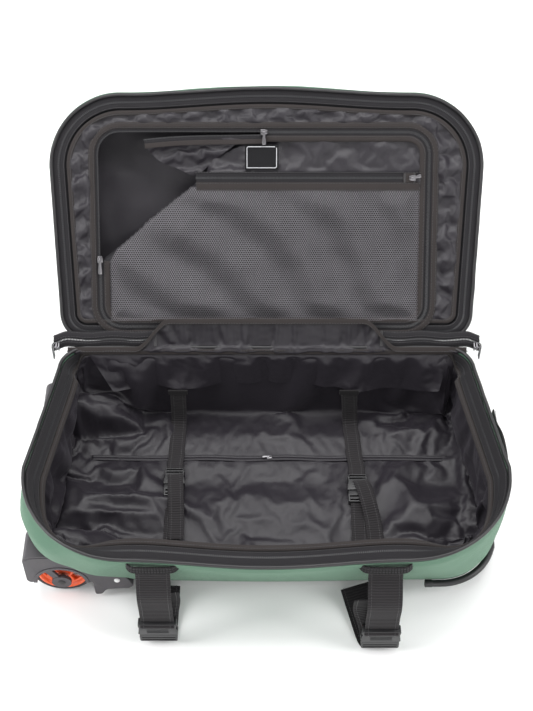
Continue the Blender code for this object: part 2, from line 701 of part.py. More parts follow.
def buckle(name, frame, width):
    """Side-release buckle about its own Z axis: the socket above the plug."""
    half = width / 2.0 + 0.005
    depth = 0.0065
    socket = block(name + "_socket", (-half, -depth, 0.0), (half, depth, 0.030), "black_plastic",
                   0.0030, frame)
    mouth = block_mesh(name + "_mouth", (-half + 0.0045, -0.0035, -0.01), (half - 0.0045, 0.0035, 0.022))
    combine(socket, cutter(name + "_mouth", mouth, frame))
    plug = block(name + "_plug", (-half + 0.001, -depth + 0.001, -0.0225), (half - 0.001,
                 depth - 0.001, -0.0005), "black_plastic", 0.0025, frame)
    tongue = block_mesh(name + "_tongue", (-half + 0.0052, -0.0028, -0.010), (half - 0.0052, 0.0028, 0.020))
    combine(plug, cutter(name + "_tongue", tongue, frame), "UNION")


def outer_straps():
    """Compression straps that hang from the front of the rim, back under the bag's front edge."""
    for side, x, lean, foot_x in (("left", -0.164, -0.424, -0.160), ("right", 0.172, -0.436, 0.140)):
        y = HINGE_Y + lean
        name = "outer_strap_" + side
        upper = [(x, HINGE_Y - 0.4080, 0.184), (x, HINGE_Y - 0.4110, 0.166), (x, y, 0.135),
                 (x, y, 0.095), (x, y, 0.0655)]
        ribbon(name + "_upper", smooth_path(upper), WIDE_WEBBING, "webbing")
        frame = pivot("outer_buckle_" + side, (x, y, 0.0345))
        buckle("outer_buckle_" + side, frame, WIDE_WEBBING)
        low = 0.0028
        lower = [(x, y, 0.0112), (x, y + 0.006, low + 0.003), (x + (foot_x - x) * 0.3, y + 0.022, low),
                 (x + (foot_x - x) * 0.7, HINGE_Y - 0.368, 0.010), (foot_x, HINGE_Y - 0.342, 0.028)]
        ribbon(name + "_lower", smooth_path(lower), WIDE_WEBBING, "webbing")


def inner_straps():
    """Packing straps across the lining floor, each with a buckle near its middle."""
    top = LINING_FLOOR_Z + LINER + 0.0036
    lie = top + 0.0065
    for side, x, buckle_s in (("left", -0.150, 0.178), ("right", 0.148, 0.190)):
        name = "inner_strap_" + side
        y = HINGE_Y - buckle_s
        rear = [(x, HINGE_Y - 0.0205, 0.115), (x, HINGE_Y - 0.0230, 0.075), (x, HINGE_Y - 0.040, top),
                (x, HINGE_Y - 0.080, top), (x, y + 0.050, top + 0.001), (x, y + 0.0310, lie)]
        ribbon(name + "_rear", smooth_path(rear), NARROW_WEBBING, "webbing")
        front = [(x, y - 0.0235, lie), (x, y - 0.045, top + 0.001), (x, HINGE_Y - 0.290, top),
                 (x, HINGE_Y - 0.318, top), (x, HINGE_Y - 0.3320, 0.066), (x, HINGE_Y - 0.3420, 0.090)]
        ribbon(name + "_front", smooth_path(front), NARROW_WEBBING, "webbing")
        frame = pivot("inner_buckle_" + side, (x, y, lie), (-math.pi / 2.0, 0.0, 0.0))
        buckle("inner_buckle_" + side, frame, NARROW_WEBBING)


# ---------------------------------------------------------------- the whole case

def build():
    shell, lining, board = tub()
    for side in ("front", "rear"):
        recess = wheel_housing(side)
        for piece in (shell, lining, board):
            combine(piece, recess)
        wheel(side)
    end_guard()
    grab_handle()
    hinge_tape()
    floor_zip()
    trolley(shell, lining)
    hinge = pivot("lid_hinge_axis", (0.0, HINGE_Y, RIM_Z), (-LID_OPEN, 0.0, 0.0))
    lid_pieces(hinge)
    lid_panel(hinge)
    main_zip_sliders()
    outer_straps()
    inner_straps()


build()
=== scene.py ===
"""Looks of the open softside suitcase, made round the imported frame.

Metres, +Z up. +X is the handle end, -X the wheel end, and the lid hinges on the +Y side. Points of the
lid are first placed in the closed lid's own frame at the hinge line: x across, s out from the hinge
and h up into the lid.
"""
import json
import math
import random

import bmesh
import bpy
import numpy as np
from mathutils import Matrix, Vector, geometry, noise


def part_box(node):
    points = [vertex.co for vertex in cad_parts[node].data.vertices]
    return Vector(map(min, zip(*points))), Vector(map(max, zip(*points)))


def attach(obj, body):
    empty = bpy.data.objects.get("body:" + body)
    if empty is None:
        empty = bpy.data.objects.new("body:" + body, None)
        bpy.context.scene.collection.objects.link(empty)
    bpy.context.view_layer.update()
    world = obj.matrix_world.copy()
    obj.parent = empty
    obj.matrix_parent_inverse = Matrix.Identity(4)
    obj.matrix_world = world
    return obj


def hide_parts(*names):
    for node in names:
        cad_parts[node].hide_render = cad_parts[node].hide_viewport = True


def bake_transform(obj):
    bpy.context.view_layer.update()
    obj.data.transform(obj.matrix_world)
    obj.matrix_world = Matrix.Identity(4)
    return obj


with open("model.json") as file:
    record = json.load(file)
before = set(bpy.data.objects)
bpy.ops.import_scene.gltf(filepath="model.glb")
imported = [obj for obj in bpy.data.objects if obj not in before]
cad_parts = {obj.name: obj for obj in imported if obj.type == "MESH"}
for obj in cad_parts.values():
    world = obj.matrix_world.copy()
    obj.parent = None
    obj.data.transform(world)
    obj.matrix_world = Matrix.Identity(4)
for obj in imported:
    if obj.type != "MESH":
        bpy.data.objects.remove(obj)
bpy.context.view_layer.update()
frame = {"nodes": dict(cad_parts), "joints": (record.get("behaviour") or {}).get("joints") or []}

# ---------------------------------------------------------------- driving dimensions, as in the CAD

JOINTS = {joint["name"]: joint for joint in frame["joints"]}
HINGE = Vector(JOINTS["lid_hinge"]["pos_m"])
HINGE_Y = HINGE.y
RIM_Z = HINGE.z
# across the gap between tub and open lid: up it, and out of its face
GAP_RISE = (0.0, 0.643, 0.766)
GAP_FACE = (0.0, -0.766, 0.643)
LID_FRAME = Matrix.Translation(HINGE) @ Matrix.Rotation(math.radians(-130.0), 4, "X")

TUB_BOTTOM = {"half_back": 0.335, "half_front": 0.356, "front": 0.337, "back": 0.010,
              "r_front": 0.085, "r_back": 0.045, "bow": 0.004}
TUB_RIM = {"half_back": 0.333, "half_front": 0.366, "front": 0.404, "back": 0.006,
           "r_front": 0.160, "r_back": 0.045, "bow": 0.011}
LID_RIM = {"half_back": 0.331, "half_front": 0.342, "front": 0.395, "back": 0.008,
           "r_front": 0.112, "r_back": 0.040, "bow": 0.010}
TUB_BASE_Z = 0.022
TUB_EDGE_Z = 0.040
TUB_TOP_Z = 0.203
RIM_DROP = 0.004
LID_TOP = 0.072
CLOTH = 0.0025
FLOOR_Z = 0.0515

WHEEL = Vector(JOINTS["wheel_front_spin"]["pos_m"])
WHEEL_R = 0.046
WHEEL_HALF_WIDTH = 0.011
HOUSING_DEPTH = 0.050
HOUSING_PROFILE = [(-0.370, 0.052), (-0.370, 0.110), (-0.363, 0.118), (-0.335, 0.121), (-0.300, 0.114),
                   (-0.262, 0.096), (-0.216, 0.062), (-0.206, 0.036), (-0.214, 0.028),
                   (-0.250, 0.024), (-0.258, 0.010), (-0.268, 0.009), (-0.2685, 0.046),
                   (-0.366, 0.046)]
HOUSING_FACES = {"front": HINGE_Y - 0.348, "rear": HINGE_Y - 0.008}

PANEL_LEFT = -0.268
PANEL_RIGHT = 0.259
PANEL_NEAR = 0.026
PANEL_FAR = 0.338
PANEL_CORNER = 0.035
PANEL_CUT_S = 0.136
POCKET_ZIP_S = 0.266

random.seed(7)
UV = "cloth"
STITCH_SIZE = (0.0030, 0.0007, 0.0007)
STITCH_STEP = 0.0044
FLOOR_SEAM_Y = HINGE_Y - 0.118


# ---------------------------------------------------------------- small maths

def smooth(t):
    t = np.clip(t, 0.0, 1.0)
    return t * t * (3.0 - 2.0 * t)


def unit(vectors):
    return vectors / np.maximum(np.linalg.norm(vectors, axis=-1, keepdims=True), 1e-12)


def catmull(points, steps):
    """A smooth curve through a few points."""
    points = [np.array(p, float) for p in points]
    ends = [points[0]] + points + [points[-1]]
    path = []
    for a, b, c, d in zip(ends, ends[1:], ends[2:], ends[3:]):
        for step in range(steps):
            t = step / steps
            path.append(0.5 * (2 * b + (c - a) * t + (2 * a - 5 * b + 4 * c - d) * t * t
                               + (3 * b - a - 3 * c + d) * t ** 3))
    path.append(points[-1])
    return np.array(path)


def lengths(points, closed=False):
    """Distance along a path at each point, with the closing one last if it is closed."""
    points = np.asarray(points, float)
    if closed:
        points = np.vstack([points, points[:1]])
    steps = np.linalg.norm(np.diff(points, axis=0), axis=1)
    return np.concatenate([[0.0], np.cumsum(steps)])


def resample(points, step, closed, *others):
    """Points at an even step along a path, with other rows of vectors read off at the same places."""
    along = lengths(points, closed)
    count = max(2, int(round(along[-1] / step)))
    places = np.linspace(0.0, along[-1], count + 1)
    if closed:
        places = places[:-1]
    result = []
    for rows in (points,) + others:
        rows = np.asarray(rows, float)
        if closed:
            rows = np.vstack([rows, rows[:1]])
        result.append(np.stack([np.interp(places, along, rows[:, k]) for k in range(rows.shape[1])], 1))
    return result


def tangents(points, closed):
    points = np.asarray(points, float)
    if closed:
        return unit(np.roll(points, -1, 0) - np.roll(points, 1, 0))
    return unit(np.gradient(points, axis=0))


def wobble(points, scale, seed=0.0):
    """Smooth noise from -1 to 1 at each point."""
    return np.array([noise.noise(Vector(p) * scale + Vector((seed, seed * 1.7, -seed))) for p in points])


def in_lid(points):
    """Points (x, s, h) of the closed lid's frame, brought to where the open lid has them."""
    points = np.asarray(points, float)
    turn = np.array(LID_FRAME.to_3x3())
    local = points * np.array([1.0, -1.0, 1.0])
    return local @ turn.T + np.array(HINGE)


def lid_vectors(vectors):
    turn = np.array(LID_FRAME.to_3x3())
    return (np.asarray(vectors, float) * np.array([1.0, -1.0, 1.0])) @ turn.T


# ---------------------------------------------------------------- outlines of the bag

def outline(shape, inset=0.0, detail=5):
    """The bag's outline from above, anticlockwise from the middle of the front."""
    half_back = shape["half_back"] - inset
    half_front = shape["half_front"] - inset
    front = shape["front"] - inset
    back = shape["back"] + inset
    r_front = max(shape["r_front"] - inset, 0.01)
    r_back = max(shape["r_back"] - inset, 0.01)
    straight = half_front - r_front
    right = []
    for i in range(6 * detail):
        x = straight * i / (6 * detail)
        right.append((x, -front - shape["bow"] * 0.5 * (1.0 + math.cos(math.pi * x / straight))))
    for i in range(7 * detail):
        a = math.radians(-90.0 + 90.0 * i / (7 * detail))
        right.append((straight + r_front * math.cos(a), -front + r_front + r_front * math.sin(a)))
    for i in range(4 * detail):
        t = i / (4 * detail)
        right.append((half_front + (half_back - half_front) * t,
                      (r_front - front) * (1.0 - t) + (-back - r_back) * t))
    for i in range(4 * detail):
        a = math.radians(90.0 * i / (4 * detail))
        right.append((half_back - r_back + r_back * math.cos(a), -back - r_back + r_back * math.sin(a)))
    for i in range(4 * detail + 1):
        right.append(((half_back - r_back) * (1.0 - i / (4 * detail)), -back))
    left = [(-x, y) for x, y in reversed(right[1:-1])]
    return np.array(right + left)


def outward(points):
    """The level direction out of a closed anticlockwise loop at each point."""
    along = tangents(points[:, :2], True)
    return np.stack([along[:, 1], -along[:, 0]], 1)


def tub_ring(z, inset=0.0, detail=5):
    t = max(0.0, (z - TUB_EDGE_Z) / (TUB_TOP_Z - TUB_EDGE_Z))
    shape = {key: TUB_BOTTOM[key] + (TUB_RIM[key] - TUB_BOTTOM[key]) * t for key in TUB_BOTTOM}
    ring = outline(shape, inset, detail)
    forward = np.clip((-ring[:, 1] - 0.25) / 0.13, 0.0, 1.0)
    across = 0.5 * (1.0 + np.cos(np.pi * np.minimum(1.0, np.abs(ring[:, 0]) / shape["half_front"])))
    height = z - RIM_DROP * t * t * forward * across
    return np.stack([ring[:, 0], ring[:, 1] + HINGE_Y, height], 1)


def panel_loop(inset, detail=8):
    """The rounded rectangle of the lid's panel, anticlockwise seen from outside, as (x, s)."""
    left, right = PANEL_LEFT + inset, PANEL_RIGHT - inset
    near, far = PANEL_NEAR + inset, PANEL_FAR - inset
    r = PANEL_CORNER - inset
    loop = []
    for cx, cs, start in ((left + r, near + r, 180), (right - r, near + r, 270),
                          (right - r, far - r, 0), (left + r, far - r, 90)):
        for i in range(detail + 1):
            a = math.radians(start + 90.0 * i / detail)
            loop.append((cx + r * math.cos(a), cs + r * math.sin(a)))
    return np.array(loop)


# ---------------------------------------------------------------- meshes

def piece(name, points, faces, material, smooth_faces=True, corner_uvs=None):
    mesh = bpy.data.meshes.new(name)
    mesh.from_pydata([tuple(p) for p in points], [], [tuple(f) for f in faces])
    if corner_uvs is not None:
        layer = mesh.uv_layers.new(name=UV)
        layer.data.foreach_set("uv", np.asarray(corner_uvs, np.float32).ravel())
    if smooth_faces:
        mesh.shade_smooth()
    mesh.materials.append(material)
    obj = bpy.data.objects.new(name, mesh)
    bpy.context.scene.collection.objects.link(obj)
    return obj


def surface(name, grid, material, closed=(False, False), smooth_faces=True):
    """A mesh through rows and columns of points, with UVs in metres. closed says which way wraps."""
    rows, cols = grid.shape[:2]
    row_closed, col_closed = closed
    last_row = rows if row_closed else rows - 1
    last_col = cols if col_closed else cols - 1
    u = lengths(grid[rows // 2], col_closed)
    v = lengths(grid[:, cols // 2], row_closed)
    faces = []
    uvs = []
    for r in range(last_row):
        r2 = (r + 1) % rows
        for c in range(last_col):
            c2 = (c + 1) % cols
            faces.append((r * cols + c, r * cols + c2, r2 * cols + c2, r2 * cols + c))
            uvs += [(u[c], v[r]), (u[c + 1], v[r]), (u[c + 1], v[r + 1]), (u[c], v[r + 1])]
    return piece(name, grid.reshape(-1, 3), faces, material, smooth_faces, uvs)


def sweep(name, path, side, up, profile, material, closed=False, smooth_faces=True):
    """A closed profile of (across, up) carried along a path, with capped ends if the path is open."""
    grid = np.stack([path + side * a + up * b for a, b in profile])
    obj = surface(name, grid, material, (True, closed), smooth_faces)
    if not closed:
        shape = bmesh.new()
        shape.from_mesh(obj.data)
        edges = [edge for edge in shape.edges if edge.is_boundary]
        bmesh.ops.holes_fill(shape, edges=edges)
        bmesh.ops.recalc_face_normals(shape, faces=shape.faces)
        shape.to_mesh(obj.data)
        shape.free()
    else:
        recalc(obj)
    return obj


def recalc(obj):
    shape = bmesh.new()
    shape.from_mesh(obj.data)
    bmesh.ops.recalc_face_normals(shape, faces=shape.faces)
    shape.to_mesh(obj.data)
    shape.free()


def round_profile(radius, steps=10, squash=1.0):
    return [(radius * math.cos(2 * math.pi * i / steps), squash * radius * math.sin(2 * math.pi * i / steps))
            for i in range(steps)]


def strip_profile(low, high, bottom, top, roll=0.0006):
    """Cross-section of flat tape: it lies between two distances across and two heights."""
    return [(low, bottom), (high, bottom), (high + roll * 0.4, (bottom + top) / 2), (high, top - roll * 0.3),
            (high - roll, top), (low + roll, top), (low, top - roll * 0.3), (low - roll * 0.4, (bottom + top) / 2)]


def beads(name, path, side, up, material, step, size, offset, closed=False, slant=0.0):
    """Small blocks along a path, for zip teeth and stitches. size is (along, across, high)."""
    centres, sides, ups = resample(path, step, closed, side, up)
    along = tangents(centres, closed)
    sides = unit(sides)
    ups = unit(ups)
    along = unit(along + sides * slant)
    corners = np.array([(a, b, c) for a in (-0.5, 0.5) for b in (-0.5, 0.5) for c in (-0.5, 0.5)])
    corners = corners * np.array(size)
    cube = [(0, 1, 3, 2), (4, 6, 7, 5), (0, 4, 5, 1), (2, 3, 7, 6), (0, 2, 6, 4), (1, 5, 7, 3)]
    points = []
    faces = []
    for k in range(len(centres)):
        origin = centres[k] + sides[k] * offset[0] + ups[k] * offset[1]
        base = len(points)
        for a, b, c in corners:
            points.append(origin + along[k] * a + sides[k] * b + ups[k] * c)
        faces += [tuple(base + i for i in face) for face in cube]
    obj = piece(name, points, faces, material, False)
    recalc(obj)
    return obj


def join(name, objs):
    """One object out of several that share a body."""
    base = objs[0]
    slots = []
    for obj in objs:
        for material in obj.data.materials:
            if material not in slots:
                slots.append(material)
    shape = bmesh.new()
    for obj in objs:
        copy = obj.data.copy()
        copy.transform(obj.matrix_world)
        remap = [slots.index(material) for material in copy.materials]
        start = len(shape.faces)
        shape.from_mesh(copy)
        shape.faces.ensure_lookup_table()
        for face in shape.faces[start:]:
            face.material_index = remap[face.material_index]
        bpy.data.meshes.remove(copy)
    mesh = bpy.data.meshes.new(name)
    shape.to_mesh(mesh)
    shape.free()
    for material in slots:
        mesh.materials.append(material)
    for obj in objs:
        bpy.data.objects.remove(obj, do_unlink=True)
    joined = bpy.data.objects.new(name, mesh)
    bpy.context.scene.collection.objects.link(joined)
    return joined


def bake(obj):
    """Makes an object's modifiers part of its mesh."""
    bpy.context.view_layer.update()
    graph = bpy.context.evaluated_depsgraph_get()
    mesh = bpy.data.meshes.new_from_object(obj.evaluated_get(graph), preserve_all_data_layers=True,
                                           depsgraph=graph)
    obj.modifiers.clear()
    obj.data = mesh
    mesh.name = obj.name
    return obj


def subdivide(obj, levels=1):
    modifier = obj.modifiers.new("subdivision", "SUBSURF")
    modifier.levels = levels
    modifier.render_levels = levels


def thicken(obj, thickness, offset=-1.0):
    modifier = obj.modifiers.new("thickness", "SOLIDIFY")
    modifier.thickness = thickness
    modifier.offset = offset


def rounded(obj, width, segments=3, angle=35.0):
    modifier = obj.modifiers.new("rounding", "BEVEL")
    modifier.width = width
    modifier.segments = segments
    modifier.limit_method = "ANGLE"
    modifier.angle_limit = math.radians(angle)
    modifier.harden_normals = False


def smooth_by_angle(obj, degrees=35.0):
    obj.data.shade_smooth()
    obj.data.set_sharp_from_angle(angle=math.radians(degrees))


def ease(obj, width, segments=3, angle=35.0, shade=None):
    """Rounds a moulding's edges for good, and shades it smooth up to an angle if one is given."""
    rounded(obj, width, segments, angle)
    bake(obj)
    if shade:
        smooth_by_angle(obj, shade)


def box(name, low, high, material):
    low = np.array(low, float)
    high = np.array(high, float)
    points = [(x, y, z) for x in (low[0], high[0]) for y in (low[1], high[1]) for z in (low[2], high[2])]
    faces = [(0, 1, 3, 2), (4, 6, 7, 5), (0, 4, 5, 1), (2, 3, 7, 6), (0, 2, 6, 4), (1, 5, 7, 3)]
    obj = piece(name, points, faces, material, False)
    recalc(obj)
    return obj


def prism(name, profile, low, high, material):
    """A profile of (x, z) carried straight along Y."""
    count = len(profile)
    points = [(x, y, z) for y in (low, high) for x, z in profile]
    faces = [tuple(range(count)), tuple(reversed(range(count, 2 * count)))]
    faces += [(i, (i + 1) % count, count + (i + 1) % count, count + i) for i in range(count)]
    obj = piece(name, points, faces, material, False)
    recalc(obj)
    return obj


def cylinder(name, start, end, radius, material, steps=48):
    start = Vector(start)
    end = Vector(end)
    shape = bmesh.new()
    bmesh.ops.create_cone(shape, cap_ends=True, segments=steps, radius1=radius, radius2=radius,
                          depth=(end - start).length)
    turn = Vector((0, 0, 1)).rotation_difference((end - start).normalized()).to_matrix().to_4x4()
    shape.transform(Matrix.Translation((start + end) / 2) @ turn)
    mesh = bpy.data.meshes.new(name)
    shape.to_mesh(mesh)
    shape.free()
    mesh.materials.append(material)
    obj = bpy.data.objects.new(name, mesh)
    bpy.context.scene.collection.objects.link(obj)
    return obj


def boolean(obj, tool, operation="DIFFERENCE"):
    """Cuts or joins tool, which is used up."""
    modifier = obj.modifiers.new("boolean", "BOOLEAN")
    modifier.object = tool
    modifier.operation = operation
    modifier.solver = "EXACT"
    bake(obj)
    bpy.data.objects.remove(tool, do_unlink=True)


def polygon_sheet(name, boundary, holes, spacing, height, material, seed=1):
    """A flat sheet cut to a boundary of (x, s), filled with small triangles. height gives h at (x, s)."""
    rng = random.Random(seed)
    points = []
    edges = []
    loops = [boundary] + list(holes)
    for loop in loops:
        start = len(points)
        points += [Vector(p) for p in loop]
        edges += [(start + i, start + (i + 1) % len(loop)) for i in range(len(loop))]
    rim_count = len(points)
    low = np.min(boundary, axis=0)
    high = np.max(boundary, axis=0)
    row = 0
    y = low[1] + spacing * 0.6
    while y < high[1]:
        x = low[0] + spacing * (0.5 if row % 2 else 1.0)
        while x < high[0]:
            spot = (x + rng.uniform(-0.15, 0.15) * spacing, y + rng.uniform(-0.15, 0.15) * spacing)
            if inside(spot, boundary) and not any(inside(spot, hole) for hole in holes):
                if min(edge_distance(spot, loop) for loop in loops) > spacing * 0.55:
                    points.append(Vector(spot))
            x += spacing
        y += spacing * 0.87
        row += 1
    out = geometry.delaunay_2d_cdt(points, edges, [], 0, 1e-7)
    spots = np.array([tuple(p) for p in out[0]])
    faces = []
    for face in out[2]:
        middle = spots[list(face)].mean(0)
        if inside(middle, boundary) and not any(inside(middle, hole) for hole in holes):
            faces.append(face)
    flat = np.array([(x, s, height(x, s)) for x, s in spots])
    uvs = [tuple(spots[i]) for face in faces for i in face]
    obj = piece(name, flat, faces, material, True, uvs)
    return obj, spots, rim_count


def inside(spot, loop):
    x, y = spot
    loop = np.asarray(loop)
    x1, y1 = loop[:, 0], loop[:, 1]
    x2, y2 = np.roll(x1, -1), np.roll(y1, -1)
    crossing = (y1 > y) != (y2 > y)
    with np.errstate(divide="ignore", invalid="ignore"):
        at = (x2 - x1) * (y - y1) / (y2 - y1) + x1
    return bool(np.count_nonzero(crossing & (x < at)) % 2)


def edge_distance(spot, loop):
    loop = np.asarray(loop)
    start = loop
    end = np.roll(loop, -1, 0)
    along = end - start
    t = np.clip(((spot - start) * along).sum(1) / np.maximum((along ** 2).sum(1), 1e-12), 0, 1)
    nearest = start + along * t[:, None]
    return float(np.min(np.linalg.norm(nearest - spot, axis=1)))


# ---------------------------------------------------------------- materials

class Graph:
    """Short calls for building one material's nodes."""

    def __init__(self, name):
        self.material = bpy.data.materials.new(name)
        self.material.use_nodes = True
        self.tree = self.material.node_tree
        self.shader = self.tree.nodes["Principled BSDF"]

    def add(self, kind, **values):
        node = self.tree.nodes.new(kind)
        for key, value in values.items():
            if key in node.inputs:
                if isinstance(value, bpy.types.NodeSocket):
                    self.tree.links.new(value, node.inputs[key])
                else:
                    node.inputs[key].default_value = value
            else:
                setattr(node, key, value)
        return node

    def math(self, operation, a, b=0.0, c=0.0):
        node = self.tree.nodes.new("ShaderNodeMath")
        node.operation = operation
        for socket, value in zip(node.inputs, (a, b, c)):
            if isinstance(value, bpy.types.NodeSocket):
                self.tree.links.new(value, socket)
            else:
                socket.default_value = value
        return node.outputs[0]

    def place(self):
        return self.add("ShaderNodeTexCoord").outputs["Object"]

    def uv(self):
        split = self.add("ShaderNodeSeparateXYZ", Vector=self.add("ShaderNodeUVMap", uv_map=UV).outputs["UV"])
        return split.outputs["X"], split.outputs["Y"]

    def noise(self, scale, detail=3.0, roughness=0.5, vector=None):
        node = self.add("ShaderNodeTexNoise", Scale=scale, Detail=detail, Roughness=roughness,
                        Vector=vector or self.place())
        return node.outputs["Fac"]

    def ramp(self, value, low, high):
        """Value from 0 to 1 carried to low to high."""
        return self.math("MULTIPLY_ADD", value, high - low, low)

    def scaled_colour(self, colour, factor):
        """A colour made lighter or darker by a factor that varies over the surface."""
        node = self.add("ShaderNodeVectorMath", operation="SCALE")
        node.inputs[0].default_value = colour
        self.tree.links.new(factor, node.inputs["Scale"])
        return node.outputs["Vector"]

    def link(self, value, socket):
        self.tree.links.new(value, self.shader.inputs[socket])

    def bump(self, height, distance, strength=1.0, under=None):
        node = self.add("ShaderNodeBump", Height=height, Distance=distance, Strength=strength)
        if under is not None:
            self.tree.links.new(under, node.inputs["Normal"])
        return node.outputs["Normal"]

    def finish(self, **values):
        for key, value in values.items():
            self.shader.inputs[key.replace("_", " ")].default_value = value
        return self.material


def woven(name, colour, pitch, roughness, variation=0.12, crinkle=0.0004, sheen=0.15, gloss=0.35,
          thread=0.22, tint=(0.5, 0.5, 0.5)):
    """Plain-weave cloth: threads over and under at a pitch in metres, with uneven dye, painted shade in the weave and
    fine creases.
    """
    g = Graph(name)
    u, v = g.uv()
    turn = math.pi / pitch
    over = g.math("MULTIPLY", g.math("SINE", g.math("MULTIPLY", u, turn)),
                  g.math("SINE", g.math("MULTIPLY", v, turn)))
    weave = g.math("ABSOLUTE", over)
    slub = g.noise(220.0, 2.0)
    cloud = g.noise(7.0, 4.0, 0.6)
    # painted shade and highlight: the colour is darker in the gaps between threads and lighter on their crowns, by
    # thread; cloud is uneven dye and slub uneven yarn
    factor = g.math("ADD", g.ramp(cloud, 1.0 - variation, 1.0 + variation),
                    g.math("ADD", g.ramp(weave, -thread, thread * 0.55), g.ramp(slub, -0.10, 0.10)))
    g.link(g.scaled_colour(colour, factor), "Base Color")
    g.link(g.ramp(g.noise(30.0, 3.0), roughness - 0.06, roughness + 0.06), "Roughness")
    normal = g.bump(g.noise(90.0, 4.0, 0.6), crinkle, 0.6)
    normal = g.bump(weave, pitch * 0.22, 0.5, normal)
    g.link(normal, "Normal")
    return g.finish(Sheen_Weight=sheen, Sheen_Roughness=0.4, Specular_IOR_Level=gloss,
                    Sheen_Tint=(*tint, 1.0))


def ribbed(name, colour, pitch, roughness, depth=0.0003, variation=0.12, twill=0.0, deep=0.28):
    """Narrow woven tape: ribs across its length at a pitch in metres, with painted shade between them that deep makes
    darker.
    """
    g = Graph(name)
    u, v = g.uv()
    lean = g.math("ADD", u, g.math("MULTIPLY", v, twill))
    rib = g.math("ABSOLUTE", g.math("SINE", g.math("MULTIPLY", lean, math.pi / pitch)))
    grain = g.math("ABSOLUTE", g.math("SINE", g.math("MULTIPLY", v, math.pi / 0.0011)))
    cloud = g.noise(18.0, 3.0, 0.6)
    # painted shade and highlight: the colour is darker in the grooves between ribs and between the lengthwise threads,
    # and lighter on their crowns; cloud is uneven dye
    factor = g.math("ADD", g.ramp(cloud, 1.0 - variation, 1.0 + variation),
                    g.math("ADD", g.ramp(rib, -deep, 0.16), g.ramp(grain, -0.08, 0.06)))
    g.link(g.scaled_colour(colour, factor), "Base Color")
    g.link(g.ramp(g.noise(60.0, 2.0), roughness - 0.08, roughness + 0.05), "Roughness")
    normal = g.bump(g.noise(400.0, 2.0), 0.0002, 0.4)
    normal = g.bump(rib, depth, 0.9, normal)
    g.link(normal, "Normal")
    return g.finish(Sheen_Weight=0.05, Sheen_Roughness=0.5, Specular_IOR_Level=0.18)


def moulded(name, colour, roughness, grain=0.00010, variation=0.10, wear=0.35, gloss=0.5, coat=0.0):
    """Moulded plastic or rubber: a fine spark-eroded grain, cloudy gloss and paler worn edges."""
    g = Graph(name)
    cloud = g.noise(25.0, 4.0, 0.6)
    edges = g.add("ShaderNodeNewGeometry").outputs["Pointiness"]
    worn = g.add("ShaderNodeMapRange", Value=edges)
    worn.inputs["From Min"].default_value = 0.52
    worn.inputs["From Max"].default_value = 0.62
    scuff = g.math("MULTIPLY", worn.outputs["Result"], g.noise(140.0, 3.0))
    factor = g.math("ADD", g.ramp(cloud, 1.0 - variation, 1.0 + variation),
                    g.math("MULTIPLY", scuff, wear * 2.0))
    g.link(g.scaled_colour(colour, factor), "Base Color")
    g.link(g.math("ADD", g.ramp(g.noise(45.0, 3.0), roughness - 0.07, roughness + 0.07),
                  g.math("MULTIPLY", scuff, 0.12)), "Roughness")
    g.link(g.bump(g.noise(1400.0, 2.0), grain, 0.5), "Normal")
    return g.finish(Specular_IOR_Level=gloss, Coat_Weight=coat, Coat_Roughness=0.25)


def metal(name, colour, roughness, brushed=False):
    g = Graph(name)
    cloud = g.noise(60.0, 4.0, 0.6)
    g.link(g.scaled_colour(colour, g.ramp(cloud, 0.86, 1.10)), "Base Color")
    g.link(g.ramp(g.noise(180.0, 3.0), roughness - 0.06, roughness + 0.12), "Roughness")
    if brushed:
        stretched = g.add("ShaderNodeMapping", Vector=g.place(), Scale=(12.0, 1800.0, 1800.0))
        g.link(g.bump(g.noise(1.0, 2.0, 0.5, stretched.outputs["Vector"]), 0.00003, 0.4), "Normal")
    else:
        g.link(g.bump(g.noise(700.0, 2.0), 0.00004, 0.4), "Normal")
    return g.finish(Metallic=1.0)


def thread(name, colour):
    g = Graph(name)
    g.link(g.scaled_colour(colour, g.ramp(g.noise(500.0, 2.0), 0.75, 1.2)), "Base Color")
    g.link(g.bump(g.noise(1500.0, 1.0), 0.0002, 0.6), "Normal")
    return g.finish(Roughness=0.7, Sheen_Weight=0.2)


GREEN = woven("green_polyester", (0.070, 0.150, 0.098), 0.0009, 0.80, variation=0.09, crinkle=0.0005,
              sheen=0.25, gloss=0.25, tint=(0.75, 0.95, 0.80))
LINING = woven("charcoal_lining", (0.0150, 0.0130, 0.0170), 0.0005, 0.42, variation=0.10,
               crinkle=0.00035, sheen=0.08, gloss=0.36, thread=0.12, tint=(0.80, 0.76, 0.85))
TAPE = ribbed("zip_tape_weave", (0.0120, 0.0112, 0.0130), 0.0009, 0.75, 0.0002, twill=0.6)
BINDING = ribbed("brown_grey_binding", (0.0260, 0.0220, 0.0215), 0.0012, 0.85, 0.0003)
WEBBING = ribbed("webbing_weave", (0.0175, 0.0158, 0.0172), 0.0042, 0.80, 0.0009, variation=0.10, deep=0.45)
